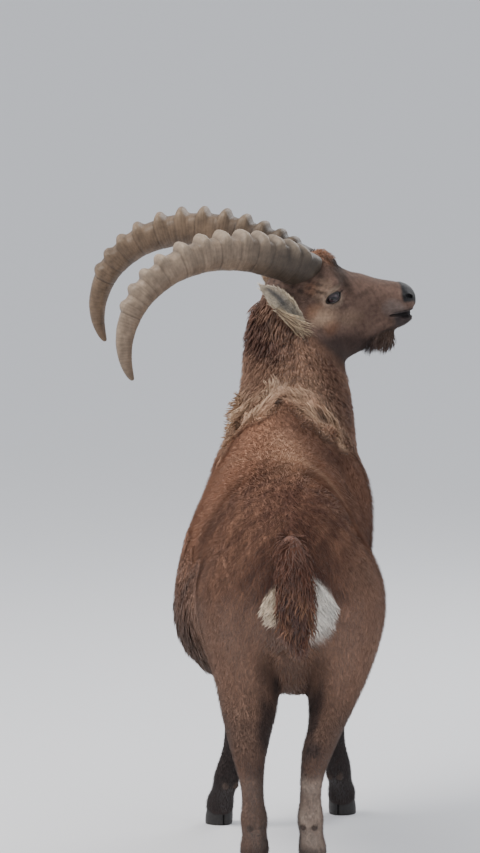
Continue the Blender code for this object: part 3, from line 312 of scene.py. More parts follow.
# Colours of the coat
BACK = linear(152, 110, 86)
# A lighter copy of the back's colour, used for painted highlights over the hips and along the spine
BACK_HIGHLIGHT = linear(182, 146, 120)
BACK_DARK = linear(84, 55, 44)
# A lighter, redder brown for the left side: partly the coat's own colour, partly painted light
RED_SIDE_LIT = linear(166, 122, 97)
FLANK = linear(72, 54, 46)
BELLY = linear(90, 73, 63)
NECK_COAT = linear(156, 121, 99)
NAPE_DARK = linear(88, 58, 46)
CREST = linear(208, 176, 146)
RUMP_WHITE = linear(246, 240, 230)
RUMP_CREAM = linear(232, 212, 186)
TAIL_DARK = linear(76, 44, 32)
TAIL_ROOT = linear(92, 56, 40)
TAIL_TIP = linear(150, 106, 76)
THIGH = linear(132, 101, 84)
SHANK = linear(92, 69, 57)
SHANK_DARK = linear(50, 36, 32)
FORE_DARK = linear(42, 32, 30)
FORE_BROWN = linear(84, 54, 44)
RUST = linear(104, 76, 61)
FETLOCK_PALE = linear(160, 142, 128)
FACE = linear(108, 85, 74)
FACE_PALE = linear(176, 148, 124)
EYE_RING = linear(156, 136, 118)
CHEEK_ORANGE = linear(126, 86, 62)
FORELOCK = linear(138, 94, 66)
BROW_DARK = linear(56, 41, 33)
JAW_DARK = linear(58, 43, 38)
MUZZLE = linear(118, 103, 96)
NOSE = linear(14, 13, 15)
LIP = linear(50, 44, 45)
MOUTH = linear(22, 16, 17)
BEARD_COAT = linear(84, 64, 52)
EAR_INSIDE = linear(220, 206, 184)
EAR_STREAK = linear(112, 110, 110)
EAR_BACK = linear(156, 126, 100)
EAR_RIM = linear(224, 202, 164)
HORN_PALE = linear(121, 104, 88)
HORN_BASE = linear(42, 35, 29)
HORN_CREST = linear(150, 134, 116)
HORN_DARK = linear(58, 49, 41)
DEWCLAW = linear(64, 52, 46)
HOOF_COAT = linear(40, 37, 36)


def mesh_object(name, points, faces):
    mesh = bpy.data.meshes.new(name)
    mesh.from_pydata([tuple(p) for p in points], [], faces)
    mesh.update()
    made = bpy.data.objects.new(name, mesh)
    bpy.context.scene.collection.objects.link(made)
    face_outwards(made)
    return made


def face_outwards(obj):
    shape = bmesh.new()
    shape.from_mesh(obj.data)
    bmesh.ops.recalc_face_normals(shape, faces=shape.faces)
    if shape.calc_volume(signed=True) < 0:
        bmesh.ops.reverse_faces(shape, faces=shape.faces)
    shape.to_mesh(obj.data)
    shape.free()


def unit(vectors):
    vectors = np.asarray(vectors, float)
    return vectors / np.maximum(np.linalg.norm(vectors, axis=-1, keepdims=True), 1e-12)


def smooth_rows(rows, count):
    """The rows resampled on a smooth curve through them, evenly along their centres."""
    rows = np.array(rows, float)
    steps = np.linalg.norm(np.diff(rows[:, :3], axis=0), axis=1)
    at = np.concatenate([[0.0], np.cumsum(steps)])
    slope = np.gradient(rows, at, axis=0)
    want = np.linspace(0.0, at[-1], count)
    i = np.clip(np.searchsorted(at, want, side="right") - 1, 0, len(at) - 2)
    span = (at[i + 1] - at[i])[:, None]
    t = ((want - at[i]) / (at[i + 1] - at[i]))[:, None]
    a, b = rows[i], rows[i + 1]
    return (
        (2 * t**3 - 3 * t**2 + 1) * a
        + (t**3 - 2 * t**2 + t) * span * slope[i]
        + (-2 * t**3 + 3 * t**2) * b
        + (t**3 - t**2) * span * slope[i + 1]
    )


def ring_shape(sides, left, right, up, down, top_power, bottom_power):
    """Points round one section, as side and up distances: a superellipse with four radii."""
    angle = np.linspace(0.0, 2 * math.pi, sides, endpoint=False)
    c, s = np.cos(angle), np.sin(angle)
    power = np.where(s >= 0, 2.0 / top_power, 2.0 / bottom_power)
    across = np.sign(c) * np.abs(c) ** power * np.where(c >= 0, right, left)
    high = np.sign(s) * np.abs(s) ** power * np.where(s >= 0, up, down)
    return across, high


def tube(name, rings):
    """One closed mesh through rings of points, with a point in the middle of each end."""
    count, sides = rings.shape[:2]
    points = list(rings.reshape(-1, 3))
    faces = []
    for i in range(count - 1):
        for k in range(sides):
            n = (k + 1) % sides
            faces.append((i * sides + k, i * sides + n, (i + 1) * sides + n, (i + 1) * sides + k))
    for i in (0, count - 1):
        points.append(rings[i].mean(axis=0))
        for k in range(sides):
            faces.append((i * sides + k, i * sides + (k + 1) % sides, len(points) - 1))
    return mesh_object(name, points, faces)


def loft(name, rows, rings=48, sides=32, along=None, grow=0.0, level_above=None):
    """A tube through sections: centre, left, right, up, down, roundness twice, and the way that up faces."""
    rows = smooth_rows(rows, rings)
    centre = rows[:, :3]
    tangent = unit(np.gradient(centre, axis=0)) if along is None else np.tile(along, (rings, 1))
    if level_above is not None:
        follow = np.clip((level_above - centre[:, 2:]) / LEVEL_BLEND, 0.0, 1.0)
        tangent = unit(follow * tangent + (1 - follow) * np.array((0.0, 0.0, -1.0)))
    up = rows[:, 9:12]
    up = unit(up - tangent * (up * tangent).sum(axis=1, keepdims=True))
    side = np.cross(tangent, up)
    sections = np.empty((rings, sides, 3))
    for i, row in enumerate(rows):
        left, right, high, low = row[3:7] + grow
        across, rise = ring_shape(sides, left, right, high, low, row[7], row[8])
        sections[i] = centre[i] + across[:, None] * side[i] + rise[:, None] * up[i]
    sections[0] -= tangent[0] * grow
    sections[-1] += tangent[-1] * grow
    return tube(name, sections)


def leg(name, rows):
    full = [(x, y, z, w, w, front, back, 2.0, 2.0, 0.0, 1.0, 0.0) for x, y, z, w, front, back in rows]
    return loft(name, full, rings=80, sides=24, level_above=LEG_LEVEL)


def head_piece(name, rows):
    full = [
        (x, 0.0, z, half, half, top - z, z - bottom, up_power, down_power, 0.0, 0.0, 1.0)
        for x, z, half, top, bottom, up_power, down_power in rows
    ]
    made = loft(name, full, rings=60, sides=40, along=(1.0, 0.0, 0.0))
    made.data.transform(HEAD)
    return made


def ellipsoid(name, centre, radii, turn=None, segments=14, rings=8):
    shape = bmesh.new()
    matrix = Matrix.Translation(Vector(centre)) @ (turn or Matrix.Identity(4)) @ Matrix.Diagonal((*radii, 1.0))
    bmesh.ops.create_uvsphere(shape, u_segments=segments, v_segments=rings, radius=1.0, matrix=matrix)
    mesh = bpy.data.meshes.new(name)
    shape.to_mesh(mesh)
    shape.free()
    made = bpy.data.objects.new(name, mesh)
    bpy.context.scene.collection.objects.link(made)
    face_outwards(made)
    return made


def join(objects, name):
    """The objects as one mesh, with nothing welded."""
    shape = bmesh.new()
    for obj in objects:
        shape.from_mesh(obj.data)
        bpy.data.objects.remove(obj)
    mesh = bpy.data.meshes.new(name)
    shape.to_mesh(mesh)
    shape.free()
    made = bpy.data.objects.new(name, mesh)
    bpy.context.scene.collection.objects.link(made)
    return made


def settle(obj):
    """Applies an object's modifiers."""
    graph = bpy.context.evaluated_depsgraph_get()
    mesh = bpy.data.meshes.new_from_object(obj.evaluated_get(graph))
    obj.modifiers.clear()
    obj.data = mesh


def body_pieces():
    trunk_rows = [(*row, 0.0, 0.0, 1.0) for row in TRUNK]
    pieces = [
        loft("trunk", trunk_rows, along=(0.0, 1.0, 0.0)),
        loft("neck", NECK),
        leg("hind_right", HIND_RIGHT),
        leg("hind_left", HIND_LEFT),
        leg("fore_right", FORE_RIGHT),
        leg("fore_left", FORE_LEFT),
        head_piece("skull", SKULL),
        head_piece("jaw", JAW),
    ]
    pieces.append(ellipsoid("groin", GROIN_AT, GROIN_RADII))
    pieces.append(ellipsoid("beard", HEAD @ Vector(BEARD_AT), BEARD_RADII))
    for (_, turn, fetlock) in FEET.values():
        frame = Matrix.Translation(Vector(fetlock)) @ Matrix.Rotation(math.radians(turn), 4, "Z")
        for side in (-1, 1):
            at = frame @ Vector((side * 0.014, -0.028, -0.014))
            pieces.append(ellipsoid("dewclaw", at, (0.0075, 0.009, 0.014)))
    return pieces


def softness(points):
    """How much each point of the body is smoothed: the big joints much, head and lower legs little."""
    high = np.clip((points[:, 2] - 0.33) / 0.10, 0.05, 1.0)
    head = np.array(HEAD.inverted())
    local = points @ head[:3, :3].T + head[:3, 3]
    inside = np.clip((local[:, 0] * 0.68 + (local[:, 2] + 0.07) * 0.73 + 0.035) / 0.06, 0.0, 1.0)
    near = np.clip((0.32 - np.linalg.norm(local, axis=1)) / 0.08, 0.0, 1.0)
    return high * (1.0 - 0.97 * inside * near)


def positions(mesh):
    points = np.empty(len(mesh.vertices) * 3)
    mesh.vertices.foreach_get("co", points)
    return points.reshape(-1, 3)


def melt(objects):
    """One skin round all the pieces, smoothed most where the big muscles meet."""
    whole = join(objects, "whole")
    remesh = whole.modifiers.new("melt", "REMESH")
    remesh.mode = "VOXEL"
    remesh.voxel_size = BODY_VOXEL
    settle(whole)
    soft = whole.vertex_groups.new(name="soft")
    weights = softness(positions(whole.data))
    levels = np.round(weights, 2)
    for level in np.unique(levels):
        soft.add(np.nonzero(levels == level)[0].tolist(), float(level), "REPLACE")
    melted = whole.modifiers.new("soft", "SMOOTH")
    melted.factor = 0.6
    melted.iterations = 110
    melted.vertex_group = "soft"
    even = whole.modifiers.new("even", "SMOOTH")
    even.factor = 0.5
    even.iterations = 3
    settle(whole)
    return whole


def nearness(points, centre, radius):
    """One at a centre, falling smoothly to nothing at a radius."""
    distance = np.linalg.norm(points - np.array(centre), axis=1) / radius
    return np.clip(1.0 - distance**2, 0.0, 1.0) ** 2


def ramp(values, low, high):
    """Zero below low and one above high, smooth between them."""
    t = np.clip((values - low) / (high - low), 0.0, 1.0)
    return t * t * (3.0 - 2.0 * t)


def ripple(points, size, seed):
    """Smooth noise about zero with patches of about this size, from a few crossed waves."""
    rng = np.random.default_rng(seed)
    total = np.zeros(len(points))
    for _ in range(7):
        wave = unit(rng.normal(size=3)) * 2 * math.pi / (size * rng.uniform(1.1, 2.6))
        total += np.sin(points @ wave + rng.uniform(0.0, 2 * math.pi))
    return total / 2.6


def blend(base, other, weight):
    """Moves each row of base towards another row by a weight."""
    weight = np.asarray(weight)[:, None]
    return base * (1.0 - weight) + np.asarray(other) * weight


def in_head(points):
    """Points in the head's own frame."""
    back = np.array(HEAD.inverted())
    return points @ back[:3, :3].T + back[:3, 3]


def from_head(vectors):
    """Directions from the head's own frame."""
    return np.asarray(vectors, float) @ np.array(HEAD)[:3, :3].T


class Places:
    """Where points of the skin lie on the animal, as weights from 0 to 1."""

    def __init__(self, points, normals):
        self.points, self.normals = points, normals
        x, y, z = points.T
        self.local = in_head(points)
        hx, hy, hz = self.local.T
        self.side = np.where(x < MIDLINE, -1.0, 1.0)
        near = 1.0 - ramp(np.linalg.norm(self.local - (0.03, 0.0, -0.03), axis=1), 0.20, 0.24)
        self.face = ramp((hx + 0.055) * 0.68 + (hz + 0.07) * 0.73, -0.022, 0.012) * near
        body = 1.0 - self.face
        self.neck = ramp(z + 0.03 * ripple(points, 0.09, 62), 0.70, 0.90) * ramp(y, 0.16, 0.25) * body
        self.nape = self.neck * ramp(z, 0.96, 1.03) * ramp(-normals[:, 0] - 0.5 * normals[:, 1], 0.1, 0.8)
        self.limb = (1.0 - ramp(z, 0.30, 0.42)) * body
        self.shank = (1.0 - ramp(z, 0.20, 0.34)) * body
        self.fore = ramp(y, 0.02, 0.08)
        self.hind = ramp(-y, 0.10, 0.20)
        self.thigh = self.hind * (1.0 - ramp(z, 0.50, 0.66)) * body
        self.rump = ramp(-y, 0.34, 0.43) * ramp(z, 0.40, 0.48)
        fray = 0.0025 * ripple(points, 0.012, 61)
        bulge = np.where(z > 0.567, (z - 0.567) / 0.068, (0.567 - z) / 0.090)
        right = ramp(0.109 - 0.040 * bulge**2 + fray - x, -0.007, 0.007) * ramp(x, 0.048, 0.058)
        left = ramp(x + 0.036 - 0.020 * ((z - 0.580) / 0.038) ** 2 + fray, -0.005, 0.005)
        left *= ramp(-0.002 - x, -0.004, 0.006) * (1.0 - ramp(np.abs(z - 0.580), 0.034, 0.044))
        right *= 1.0 - ramp(bulge, 0.92, 1.12)
        self.patch = np.maximum(right, left) * ramp(-y, 0.40, 0.45)
        drift = 0.018 * ripple(points, 0.05, 64)
        arc = np.exp(-(((y - 0.192 + drift) / 0.040) ** 2)) * ramp(z + drift, 0.79, 0.87) * ramp(normals[:, 2], -0.2, 0.2)
        tuft = nearness(points, (-0.110, 0.290, 0.880), 0.085) * (1.0 + 0.35 * ripple(points, 0.035, 63))
        self.tuft = np.clip(1.8 * tuft, 0.0, 1.0)
        self.crest = np.maximum(arc, self.tuft) * body
        self.flank = ramp(-x, 0.10, 0.16) * (1.0 - ramp(z + 1.5 * drift, 0.48, 0.66)) * ramp(y, -0.32, -0.14) * body
        self.flank *= 1.0 - ramp(y + drift, 0.02, 0.20)
        self.under = ramp(-normals[:, 2], 0.05, 0.8) * (1.0 - self.limb) * body * (1.0 - ramp(z, 0.46, 0.60))
        self.under *= 1.0 - self.thigh * ramp(np.abs(x - MIDLINE), 0.03, 0.06)
        self.beard = nearness(self.local * (0.72, 1.0, 1.0), np.array(BEARD_AT) * (0.66, 1.0, 1.0), 0.044)
        self.jaw = nearness(self.local * (0.45, 1.0, 1.0), (0.038, 0.0, -0.100), 0.034) * self.face
        self.forelock = np.clip(2.0 * nearness(self.local, FORELOCK_AT, FORELOCK_REACH), 0.0, 1.0) * self.face
        self.nose = nose_pad(hx, hy, hz)
        self.lips = ramp(hx, 0.135, 0.146) * ramp(0.007 - np.abs(hz - mouth_height(hx) + 0.002), 0.0, 0.003)


def mouth_height(x):
    """The height of the mouth's line at a distance along the muzzle, in the head's frame."""
    return -0.0525 + 0.16 * np.clip(x - 0.130, -0.02, 0.06)


def nose_pad(x, y, z):
    """One on the bare black pad round the nostrils, which narrows and slants back towards the mouth."""
    low = -0.0335 + 0.75 * np.clip(np.abs(y) - 0.006, 0.0, 0.016)
    edge = 0.0015 * np.clip(np.abs(y) / 0.02, 0.0, 1.0)
    return ramp(x + 0.30 * np.clip(z + 0.006, -0.03, 0.0) - edge, 0.1480, 0.1570) * ramp(z - low, -0.0045, 0.0045)


def coat_depth(place):
    """How far the skin lies inside the solids."""
    depth = np.full(len(place.points), 0.0080)
    depth += 0.0020 * place.neck + 0.0045 * place.nape + 0.004 * place.crest + 0.003 * place.patch
    depth += 0.0030 * place.tuft
    depth += (0.0060 - depth) * place.thigh
    depth += (0.0028 - depth) * np.maximum(place.limb, place.shank)
    depth += (0.0017 - depth) * place.face
    depth += 0.0060 * place.beard * place.face
    bare = np.maximum(place.nose, place.lips) * place.face
    return depth * (1.0 - bare)


def lie(place):
    """The way the hair lies, before it is laid along the skin."""
    n, local = place.normals, place.local
    count = len(n)

    def way_of(x, y, z):
        return np.stack([np.broadcast_to(v, count).astype(float) for v in (x, y, z)], axis=1)

    way = way_of(0.0, -1.0, -0.20 - 0.75 * np.abs(n[:, 0]))
    way = blend(way, (0.0, -0.55, -1.0), place.thigh)
    way = blend(way, way_of(0.30 * place.side, -0.30, -1.0), place.rump)
    way = blend(way, way_of(0.75 * place.side, -0.4, -1.0), np.clip(1.3 * place.patch, 0.0, 1.0))
    way = blend(way, (0.0, -0.40, -1.0), place.flank)
    chest = ramp(place.points[:, 1], 0.30, 0.40) * (1.0 - ramp(place.points[:, 2], 0.8, 0.95))
    way = blend(way, (0.0, 0.05, -1.0), chest)
    way = blend(way, (0.05, -0.35, -1.0), place.neck)
    way = blend(way, (-0.20, 0.10, 1.0), 0.85 * place.crest)
    way = blend(way, (-0.90, -0.40, 0.10), place.tuft)
    way = blend(way, (0.0, -0.12, -1.0), place.limb)
    up = -0.30 - 0.5 * ramp(-local[:, 2], 0.03, 0.10) + 0.25 * ramp(local[:, 2], 0.02, 0.06)
    way = blend(way, from_head(way_of(-1.0, 0.1 * np.sign(local[:, 1]), up)), place.face)
    way = blend(way, from_head(way_of(0.55, 6.0 * local[:, 1], 0.8)), place.forelock)
    beard = from_head(way_of(-0.15, 2.0 * local[:, 1], -1.0))
    way = blend(way, beard, 0.9 * np.clip(1.6 * place.jaw, 0.0, 1.0))
    return blend(way, beard, np.clip(1.8 * place.beard, 0.0, 1.0))


def hair_size(place):
    """Length, width, clumping and how many hairs cover each spot."""
    count = len(place.points)
    length, width = np.full(count, 0.0170), np.full(count, 0.00140)
    clump, cover = np.full(count, 0.24), np.full(count, 2.6)

    def set_to(weight, new_length, new_width, new_clump, new_cover):
        for values, new in ((length, new_length), (width, new_width), (clump, new_clump), (cover, new_cover)):
            values += (new - values) * weight

    set_to(place.thigh, 0.0145, 0.0014, 0.20, 2.5)
    set_to(place.neck, 0.0200, 0.0020, 0.40, 3.2)
    set_to(place.nape, 0.036, 0.0038, 0.62, 4.6)
    set_to(place.crest, 0.034, 0.0024, 0.45, 4.2)
    set_to(place.tuft, 0.046, 0.0028, 0.55, 5.0)
    set_to(place.under, 0.030, 0.0032, 0.50, 3.6)
    set_to(place.flank, 0.046, 0.0034, 0.65, 4.2)
    set_to(place.patch, 0.030, 0.0019, 0.30, 4.6)
    set_to(place.limb, 0.0105, 0.0016, 0.22, 2.6)
    set_to(place.shank, 0.0085, 0.0014, 0.20, 2.5)
    set_to(place.face, 0.0062, 0.0011, 0.12, 2.7)
    muzzle = place.face * ramp(place.local[:, 0], 0.02, 0.12)
    set_to(muzzle, 0.0042, 0.0009, 0.10, 2.1)
    set_to(place.forelock, 0.024, 0.0019, 0.60, 5.0)
    set_to(place.jaw, 0.014, 0.0014, 0.30, 4.5)
    set_to(np.clip(1.8 * place.beard, 0.0, 1.0), 0.024, 0.0018, 0.22, 6.5)
    return length, width, clump, cover


def coat_colour(place):
    """The colour of skin and hair at each point, with painted light: highlights over the hips and spine, a lighter
    left side, and shade on the right, the withers, the partings and round the tail.
    """
    points, n, local = place.points, place.normals, place.local
    x, y, z = points.T
    broad, middling, fine = ripple(points, 0.16, 1), ripple(points, 0.045, 2), ripple(points, 0.014, 3)
    colour = np.tile(BACK, (len(points), 1))
    loin = ramp(0.06 - y + 0.9 * np.abs(x - MIDLINE), 0.0, 0.28) * ramp(z, 0.45, 0.55)
    loin *= 1.0 + 0.45 * ripple(points, 0.030, 65)
    colour = blend(colour, BACK_DARK, np.clip(loin * (0.55 + 0.12 * fine + 0.10 * broad), 0.0, 0.85))
    # The left side of the trunk in a lighter, redder brown: partly the coat's own colour and partly painted light on
    # the side that faces the key light
    lit_left_side = ramp(MIDLINE - x, 0.04, 0.13) * ramp(z, 0.55, 0.66) * ramp(y, -0.20, -0.04)
    colour = blend(colour, RED_SIDE_LIT, np.clip(lit_left_side * (0.75 + 0.1 * middling + 0.08 * fine), 0.0, 0.95))
    # Painted highlight: a lighter band across the back over the hips, stronger right of the middle
    hip_arch_highlight = y - (-0.075 + 6.0 * np.clip(np.abs(x - 0.03), 0.0, 0.16) ** 2)
    hip_arch_highlight = np.exp(-((hip_arch_highlight / 0.026) ** 2)) * ramp(z, 0.60, 0.70) * (0.35 + 0.65 * ramp(x - MIDLINE, -0.05, 0.02))
    colour = blend(colour, BACK_HIGHLIGHT, np.clip(hip_arch_highlight * (0.72 + 0.2 * fine), 0.0, 0.9))
    # Painted shade on the sides of the trunk's front half, full on the right, away from the key light, and weaker on
    # the left
    side_shade = ramp(np.abs(x - MIDLINE), 0.075, 0.125) * ramp(y + 0.03 * broad, -0.10, 0.06) * ramp(z, 0.36, 0.44)
    side_shade *= np.where(x > MIDLINE, 1.0, 0.45) * (1.0 - 0.35 * ramp(y, 0.14, 0.30))
    colour = blend(colour, BACK_DARK, np.clip(side_shade * (0.60 + 0.12 * fine + 0.10 * broad), 0.0, 0.8))
    chest = ramp(y, 0.22, 0.36) * (1.0 - ramp(z, 0.74, 0.86))
    colour = blend(colour, BACK_DARK, np.clip(chest * (0.42 + 0.15 * middling + 0.12 * broad), 0.0, 0.75))
    # Painted highlight along the top of the spine, on skin that faces up, fading towards the withers
    spine_highlight = np.exp(-(((x - MIDLINE) / 0.042) ** 2)) * ramp(n[:, 2], 0.2, 0.7) * ramp(y, -0.36, -0.05)
    spine_highlight *= 1.0 - 0.85 * ramp(y, 0.0, 0.10)
    colour = blend(colour, BACK_HIGHLIGHT, np.clip(spine_highlight * (0.60 + 0.15 * fine + 0.15 * middling), 0.0, 0.85))
    colour = blend(colour, FLANK, np.clip(place.flank * 0.9, 0.0, 1.0))
    colour = blend(colour, BELLY, place.under)
    hip = ramp(np.abs(x - MIDLINE), 0.09, 0.15) * ramp(-y, 0.20, 0.34) * (1.0 - ramp(z, 0.62, 0.72))
    hip *= np.where(x > MIDLINE, 0.80, 0.30)
    colour = blend(colour, THIGH, np.clip(np.maximum(place.thigh * 0.9, hip), 0.0, 1.0))
    colour = blend(colour, NECK_COAT, place.neck * 0.95)
    streak = np.clip(ripple(points * (1.0, 1.0, 0.30), 0.016, 5) - 0.30, 0.0, 1.0)
    colour = blend(colour, NAPE_DARK, np.clip(place.neck * streak * 0.8, 0.0, 0.7))
    colour = blend(colour, NAPE_DARK, np.clip(place.nape * (0.80 + 0.30 * middling), 0.0, 0.95))
    # Painted shade over the withers, mostly on the right half, away from the key light
    withers_shade = np.exp(-(((y - 0.11) / 0.07) ** 2)) * ramp(z, 0.74, 0.82) * ramp(x - MIDLINE, -0.08, 0.02)
    colour = blend(colour, BACK_DARK, np.clip(withers_shade * (0.72 + 0.12 * middling + 0.10 * fine), 0.0, 0.85))
    shoulders = np.clip(place.crest * 1.3, 0.0, 1.0)
    colour = blend(colour, CREST, shoulders * np.clip(0.62 + 0.30 * middling + 0.3 * place.tuft, 0.0, 1.0))
    # Painted shade in two partings of the coat at the withers
    gap_shade = nearness(points, (-0.010, 0.170, 0.925), 0.019) + nearness(points, (0.094, 0.180, 0.875), 0.017)
    colour = blend(colour, SHANK_DARK, np.clip(1.6 * gap_shade, 0.0, 0.8))
    # Painted shade on the right side of the neck, which faces away from the key light
    shade = ramp(n[:, 0], 0.1, 0.7) * place.neck * (0.62 + 0.15 * middling)
    colour = blend(colour, NAPE_DARK, np.clip(shade, 0.0, 0.7))

    hind = 1.0 - place.fore
    colour = blend(colour, SHANK, place.limb * hind)
    low = 0.66 + 0.03 * broad + 0.02 * middling
    colour = blend(colour, FORE_BROWN, place.fore * ramp(low - z, 0.0, 0.26) * (1.0 - 0.4 * place.under))
    colour = blend(colour, FORE_DARK, place.fore * ramp(0.42 - z + 0.02 * middling, 0.0, 0.24))
    inner = ramp(-n[:, 0] * place.side, 0.25, 0.75) * ramp(0.50 - z, 0.0, 0.10) * hind
    colour = blend(colour, SHANK_DARK, np.clip(inner * (0.70 + 0.25 * middling), 0.0, 0.9))
    front = ramp(n[:, 1], 0.0, 0.6) * place.limb * hind
    colour = blend(colour, SHANK_DARK, 0.80 * front)
    outer = ramp(n[:, 0] * place.side, 0.0, 0.7) * ramp(0.30 - z, 0.0, 0.10) * hind * (x < MIDLINE)
    colour = blend(colour, RUST, np.clip(outer * (0.60 + 0.3 * middling), 0.0, 0.9))
    rear = ramp(-n[:, 1], 0.0, 0.6) * (1.0 - ramp(z, 0.19, 0.23)) * hind
    pale_leg = np.where(x > MIDLINE, 0.85, 0.15)
    colour = blend(colour, FETLOCK_PALE, np.clip(rear * pale_leg * (0.8 + 0.3 * middling), 0.0, 1.0))
    hock = nearness(points, (0.058, -0.465, 0.262), 0.045) + 0.5 * nearness(points, (-0.050, -0.46, 0.25), 0.04)
    colour = blend(colour, SHANK_DARK, np.clip(1.3 * hock * (0.7 + 0.6 * middling), 0.0, 0.85) * (z < 0.35))
    low = ramp(0.062 - z, 0.0, 0.02) * hind
    colour = blend(colour, SHANK_DARK, 0.6 * low)
    colour = blend(colour, DEWCLAW, dewclaw_weight(points))

    croup = np.exp(-(((x - 0.030) / 0.095) ** 2)) * ramp(-y, 0.24, 0.36) * ramp(z, 0.56, 0.62)
    colour = blend(colour, TAIL_DARK, np.clip(croup * (0.70 + 0.10 * fine), 0.0, 0.85))
    # Painted shadow on the rump round the tail's root, outside the white patches
    tail_root_shadow = nearness(points, (0.030, -0.47, 0.60), 0.12) * (1.0 - np.clip(place.patch * 1.5, 0, 1))
    colour = blend(colour, TAIL_DARK, np.clip(tail_root_shadow * 1.4, 0.0, 0.95))
    white = np.where((x > MIDLINE)[:, None], RUMP_WHITE, RUMP_CREAM)
    colour = blend(colour, white, np.clip(place.patch * 1.2, 0.0, 1.0))
    return blend(colour, face_colour(local, n), place.face)


def dewclaw_weight(points):
    weight = np.zeros(len(points))
    for (_, turn, fetlock) in FEET.values():
        frame = Matrix.Translation(Vector(fetlock)) @ Matrix.Rotation(math.radians(turn), 4, "Z")
        for side in (-1, 1):
            at = frame @ Vector((side * 0.014, -0.030, -0.016))
            weight = np.maximum(weight, ramp(-np.linalg.norm(points - np.array(at), axis=1), -0.0125, -0.0090))
    return weight


def face_colour(local, normals):
    """Markings of the head, the same on both sides, and painted shade in the crease above each upper lid."""
    x, y, z = local[:, 0], np.abs(local[:, 1]), local[:, 2]
    fine, middling = ripple(local, 0.008, 7), ripple(local, 0.026, 8)
    colour = np.tile(FACE, (len(local), 1))
    colour = blend(colour, BROW_DARK, np.clip(0.08 + 0.16 * middling + 0.22 * fine, 0.0, 0.55))

    def dab(tone, at, radius, strength, stretch=1.0, slant=0.0):
        nonlocal colour
        turn = math.radians(slant)
        along = (x - at[0]) * math.cos(turn) + (z - at[1]) * math.sin(turn)
        over = (z - at[1]) * math.cos(turn) - (x - at[0]) * math.sin(turn)
        flat = np.hypot(along / stretch, over) / radius
        colour = blend(colour, tone, strength * np.clip(1.0 - flat**2, 0.0, 1.0) * (1.0 + 0.12 * fine))

    colour = blend(colour, BROW_DARK, 0.30 * ramp(normals[:, 2], 0.45, 0.85) * ramp(x, 0.02, 0.05))
    dab(FACE_PALE, (-0.030, -0.036), 0.026, 0.70, 1.2, 20.0)
    dab(FACE_PALE, (-0.006, -0.044), 0.022, 0.60, 1.3, 30.0)
    dab(FACE_PALE, (-0.024, 0.018), 0.024, 0.45, 1.3, 60.0)
    dab(FACE_PALE, (0.040, -0.050), 0.026, 0.30, 1.5)
    dab(CHEEK_ORANGE, (-0.002, -0.066), 0.020, 0.50, 1.3)
    dab(CHEEK_ORANGE, (-0.046, -0.028), 0.018, 0.55, 1.2, 40.0)
    dab(CHEEK_ORANGE, (-0.048, 0.020), 0.018, 0.55, 1.2, 60.0)
    dab(CHEEK_ORANGE, (-0.026, -0.016), 0.012, 0.35)
    dab(BROW_DARK, (0.028, 0.034), 0.015, 0.95, 2.6, 118.0)
    dab(BROW_DARK, (0.010, 0.062), 0.022, 0.90, 1.9, 118.0)
    dab(BROW_DARK, (-0.030, 0.050), 0.030, 0.45, 1.2)
    dab(MUZZLE, (0.136, -0.034), 0.026, 0.95, 1.1, -30.0)
    dab(MUZZLE, (0.152, -0.040), 0.018, 0.80, 1.3)
    top = np.exp(-((y / 0.030) ** 2)) * ramp(z, 0.055, 0.070) * (x < 0.02)
    colour = blend(colour, FORELOCK, np.clip(top * 1.2, 0.0, 0.9))
    line = -0.078 - 0.16 * np.clip(x - 0.01, -0.05, 0.14)
    under = np.maximum(ramp(line - z, -0.010, 0.022), ramp(-normals[:, 2], 0.55, 0.85) * ramp(-z, 0.06, 0.08))
    colour = blend(colour, JAW_DARK, np.clip(under, 0.0, 0.92))
    front_beard = np.clip(2.0 * nearness(local, BEARD_AT, 0.044), 0.0, 1.0) * ramp(x, 0.085, 0.120)
    colour = blend(colour, BEARD_COAT, 0.9 * front_beard)
    eye_out = np.hypot((x - EYE_AT[0] + 0.002) / 0.028, (z - EYE_AT[2] + 0.004) / 0.022)
    colour = blend(colour, EYE_RING, 0.62 * (1.0 - ramp(eye_out, 0.60, 1.20)))
    speckled = ramp(-x, 0.005, 0.030) * ramp(z, -0.010, 0.010) * (1.0 - ramp(z, 0.070, 0.085))
    colour = blend(colour, BROW_DARK, np.clip(speckled * (0.25 + 0.55 * ripple(local, 0.007, 9)), 0.0, 0.75))
    dab(EYE_RING, (0.003, 0.019), 0.0075, 0.95, 2.6, 32.0)
    # Painted shade in the crease above the upper lid
    dab(BROW_DARK, (0.012, 0.026), 0.006, 0.60, 2.0, 30.0)
    u, v = lid_place(x, z)
    edge = np.hypot(u / LID_LENGTH * 2, v / LID_HEIGHT * 2)
    colour = blend(colour, NOSE, 0.92 * (1.0 - ramp(edge, 1.06, 1.22)) * (y > 0.03))
    duct = np.hypot((u - 0.60 * LID_LENGTH) / 0.008, v / 0.0022)
    colour = blend(colour, NOSE, 0.75 * (1.0 - ramp(duct, 0.7, 1.2)) * (y > 0.03))
    drop = z - mouth_height(x)
    lower = ramp(x, 0.134, 0.150) * ramp(-drop, -0.001, 0.002) * ramp(drop, -0.034, -0.024)
    colour = blend(colour, LIP, 0.85 * lower)
    upper = ramp(x, 0.132, 0.146) * ramp(drop, -0.001, 0.001) * (1.0 - ramp(drop, 0.003, 0.007))
    colour = blend(colour, LIP, 0.80 * upper)
    wedge = 0.0012 + 0.0050 * ramp(x, 0.136, 0.178)
    inside = ramp(x, 0.131, 0.137) * ramp(wedge - np.abs(drop + wedge), -0.0004, 0.0010)
    colour = blend(colour, MOUTH, inside)
    return blend(colour, NOSE, nose_pad(x, y, z))


